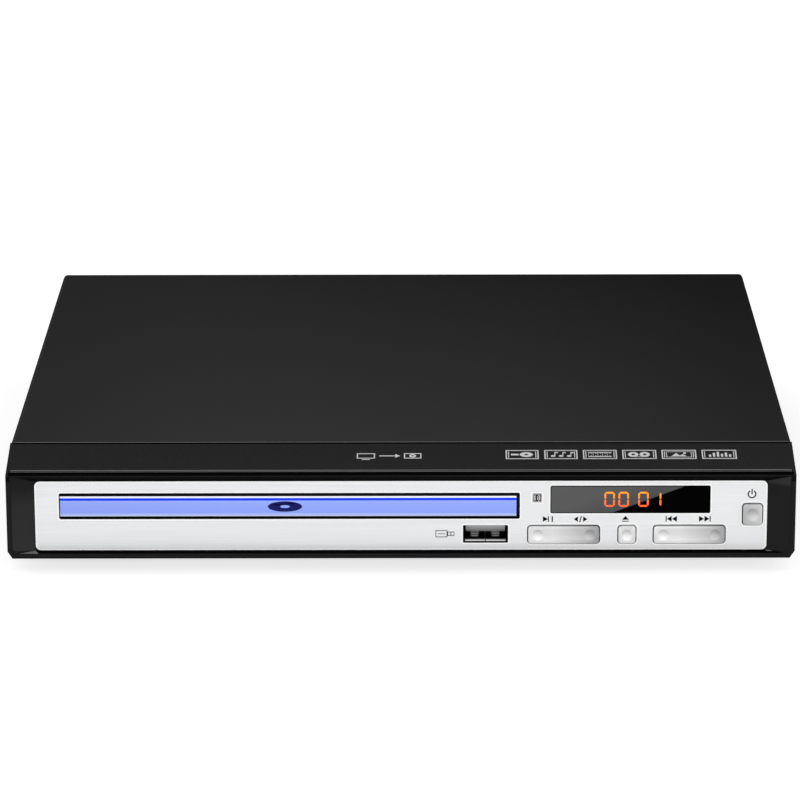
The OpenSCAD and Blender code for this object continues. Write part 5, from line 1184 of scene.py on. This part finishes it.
def on_band(u, v, t):
    """A place on the band: across, behind the front rim, and proud of the surface."""
    height = RIM_TOP + v * math.tan(BAND_SLOPE)
    return place(u, v - t * math.sin(BAND_SLOPE), height + t * math.cos(BAND_SLOPE))


# each of these marks takes its lower left corner, its width and its height

def disc_and_card(u, v, w, h):
    return [bar(u, v + 0.9, u + 2.2, v + 1.7)] + disc_mark(u + 4.4, v + 1.28, 1.9, 0.66)


def three_notes(u, v, w, h):
    return note_mark(u, v, h) + note_mark(u + 2.3, v, h) + note_mark(u + 4.6, v, h)


def film_strip(u, v, w, h):
    """Two rails with holes between crossbars."""
    shapes = [bar(u, v, u + w, v + 0.16 * h), bar(u, v + 0.84 * h, u + w, v + h)]
    for k in range(5):
        left = u + w * k / 5
        hole = left + w / 10
        shapes += [bar(left, v + 0.16 * h, left + 0.12, v + 0.84 * h),
                   bar(hole, v + 0.24 * h, hole + 0.3, v + 0.34 * h),
                   bar(hole, v + 0.66 * h, hole + 0.3, v + 0.76 * h)]
    return shapes


def two_reels(u, v, w, h):
    reels = disc_mark(u + 1.6, v + 1.28, 1.5, 0.85, 0.35) + disc_mark(u + 4.9, v + 1.28, 1.5, 0.85, 0.35)
    return reels + [bar(u + 1.6, v, u + 4.9, v + 0.2)]


def picture(u, v, w, h):
    """Two hills and a sun in a frame."""
    frame_lines = outline_box(u - 0.2, v - 0.2, u + w + 0.2, v + h + 0.2, 0.2)
    u, v, w, h = u + 1.2, v + 0.3, w - 2.4, h - 0.6
    return frame_lines + [[(u, v), (u + 0.62 * w, v), (u + 0.32 * w, v + h * 0.85)],
                          [(u + 0.42 * w, v), (u + w, v), (u + 0.74 * w, v + h * 0.55)],
                          dots(u + 0.86 * w, v + 0.84 * h, 0.1 * w, 0.1 * w, 12)]


def level_bars(u, v, w, h):
    return [bar(u + 0.5 + k * 1.15, v, u + 1.15 + k * 1.15, v + h * level)
            for k, level in enumerate((0.45, 0.8, 1.0, 0.6, 0.85, 0.5))]


BOXES = ((30.04, 39.48, disc_and_card), (41.1, 50.61, three_notes), (52.2, 61.91, film_strip),
         (63.46, 73.22, two_reels), (74.72, 84.63, picture), (86.21, 96.16, level_bars))
band_marks = []
for left, right, mark in BOXES:
    band_marks += outline_box(left, BOX_LOW, right, BOX_HIGH, 0.36)
    sides = (left + 0.7, right - 0.95)
    band_marks += [bar(side, BOX_LOW + 0.75, side + 0.25, BOX_HIGH - 0.75) for side in sides]
    band_marks += mark(left + 1.5, BOX_LOW + 1.05, right - left - 3.0, BOX_HIGH - BOX_LOW - 2.1)
screens = outline_box(-12.6, 8.9, -7.4, 11.6, 0.34) + [bar(-11.2, 8.2, -8.8, 8.5)]
screens += [bar(-6.2, 10.05, -1.4, 10.45), arrow(-1.6, -0.2, 9.3, 11.2)]
screens += outline_box(0.9, 8.9, 5.9, 11.6, 0.34) + disc_mark(3.4, 10.25, 1.0, 0.9, 0.35)
# Painted shadow lines across the band, at its rear edge by the cover and in front of the groove
shadow_lines = [bar(-BAND_HALF, BAND_DEPTH - 0.75, BAND_HALF, BAND_DEPTH - 0.05),
         bar(-BAND_HALF, 0.1, BAND_HALF, 1.8)]
# A painted highlight strip along the band just behind the groove
lip = [bar(-111.3, GROOVE_BACK - 0.03, 111.3, GROOVE_BACK + 0.25)]
sign("band_shadow_lines", shadow_lines, on_band, SHADOW_BLACK, 0.006)
sign("groove_highlight_strip", lip, on_band, GROOVE_HIGHLIGHT, thickness=0.006)
sign("band_signs", band_marks + screens, on_band, WHITE_PRINT, 0.015)

# ---- Painted glints in the inner corners of the recess ----

glints = [[(-109.0, 0.15), (-103.7, 0.15), (-104.75, 2.9)],
          [(104.2, 2.8), (105.6, 2.8), (106.3, 1.9), (104.9, 1.6)],
          [(106.9, 2.3), (107.6, 2.0), (107.9, 1.4), (107.2, 1.3)]]
sign("corner_glints", glints, lambda u, v, t: place(u, v, panel_low.z - 0.08 + t), GLINT, thickness=0.01)
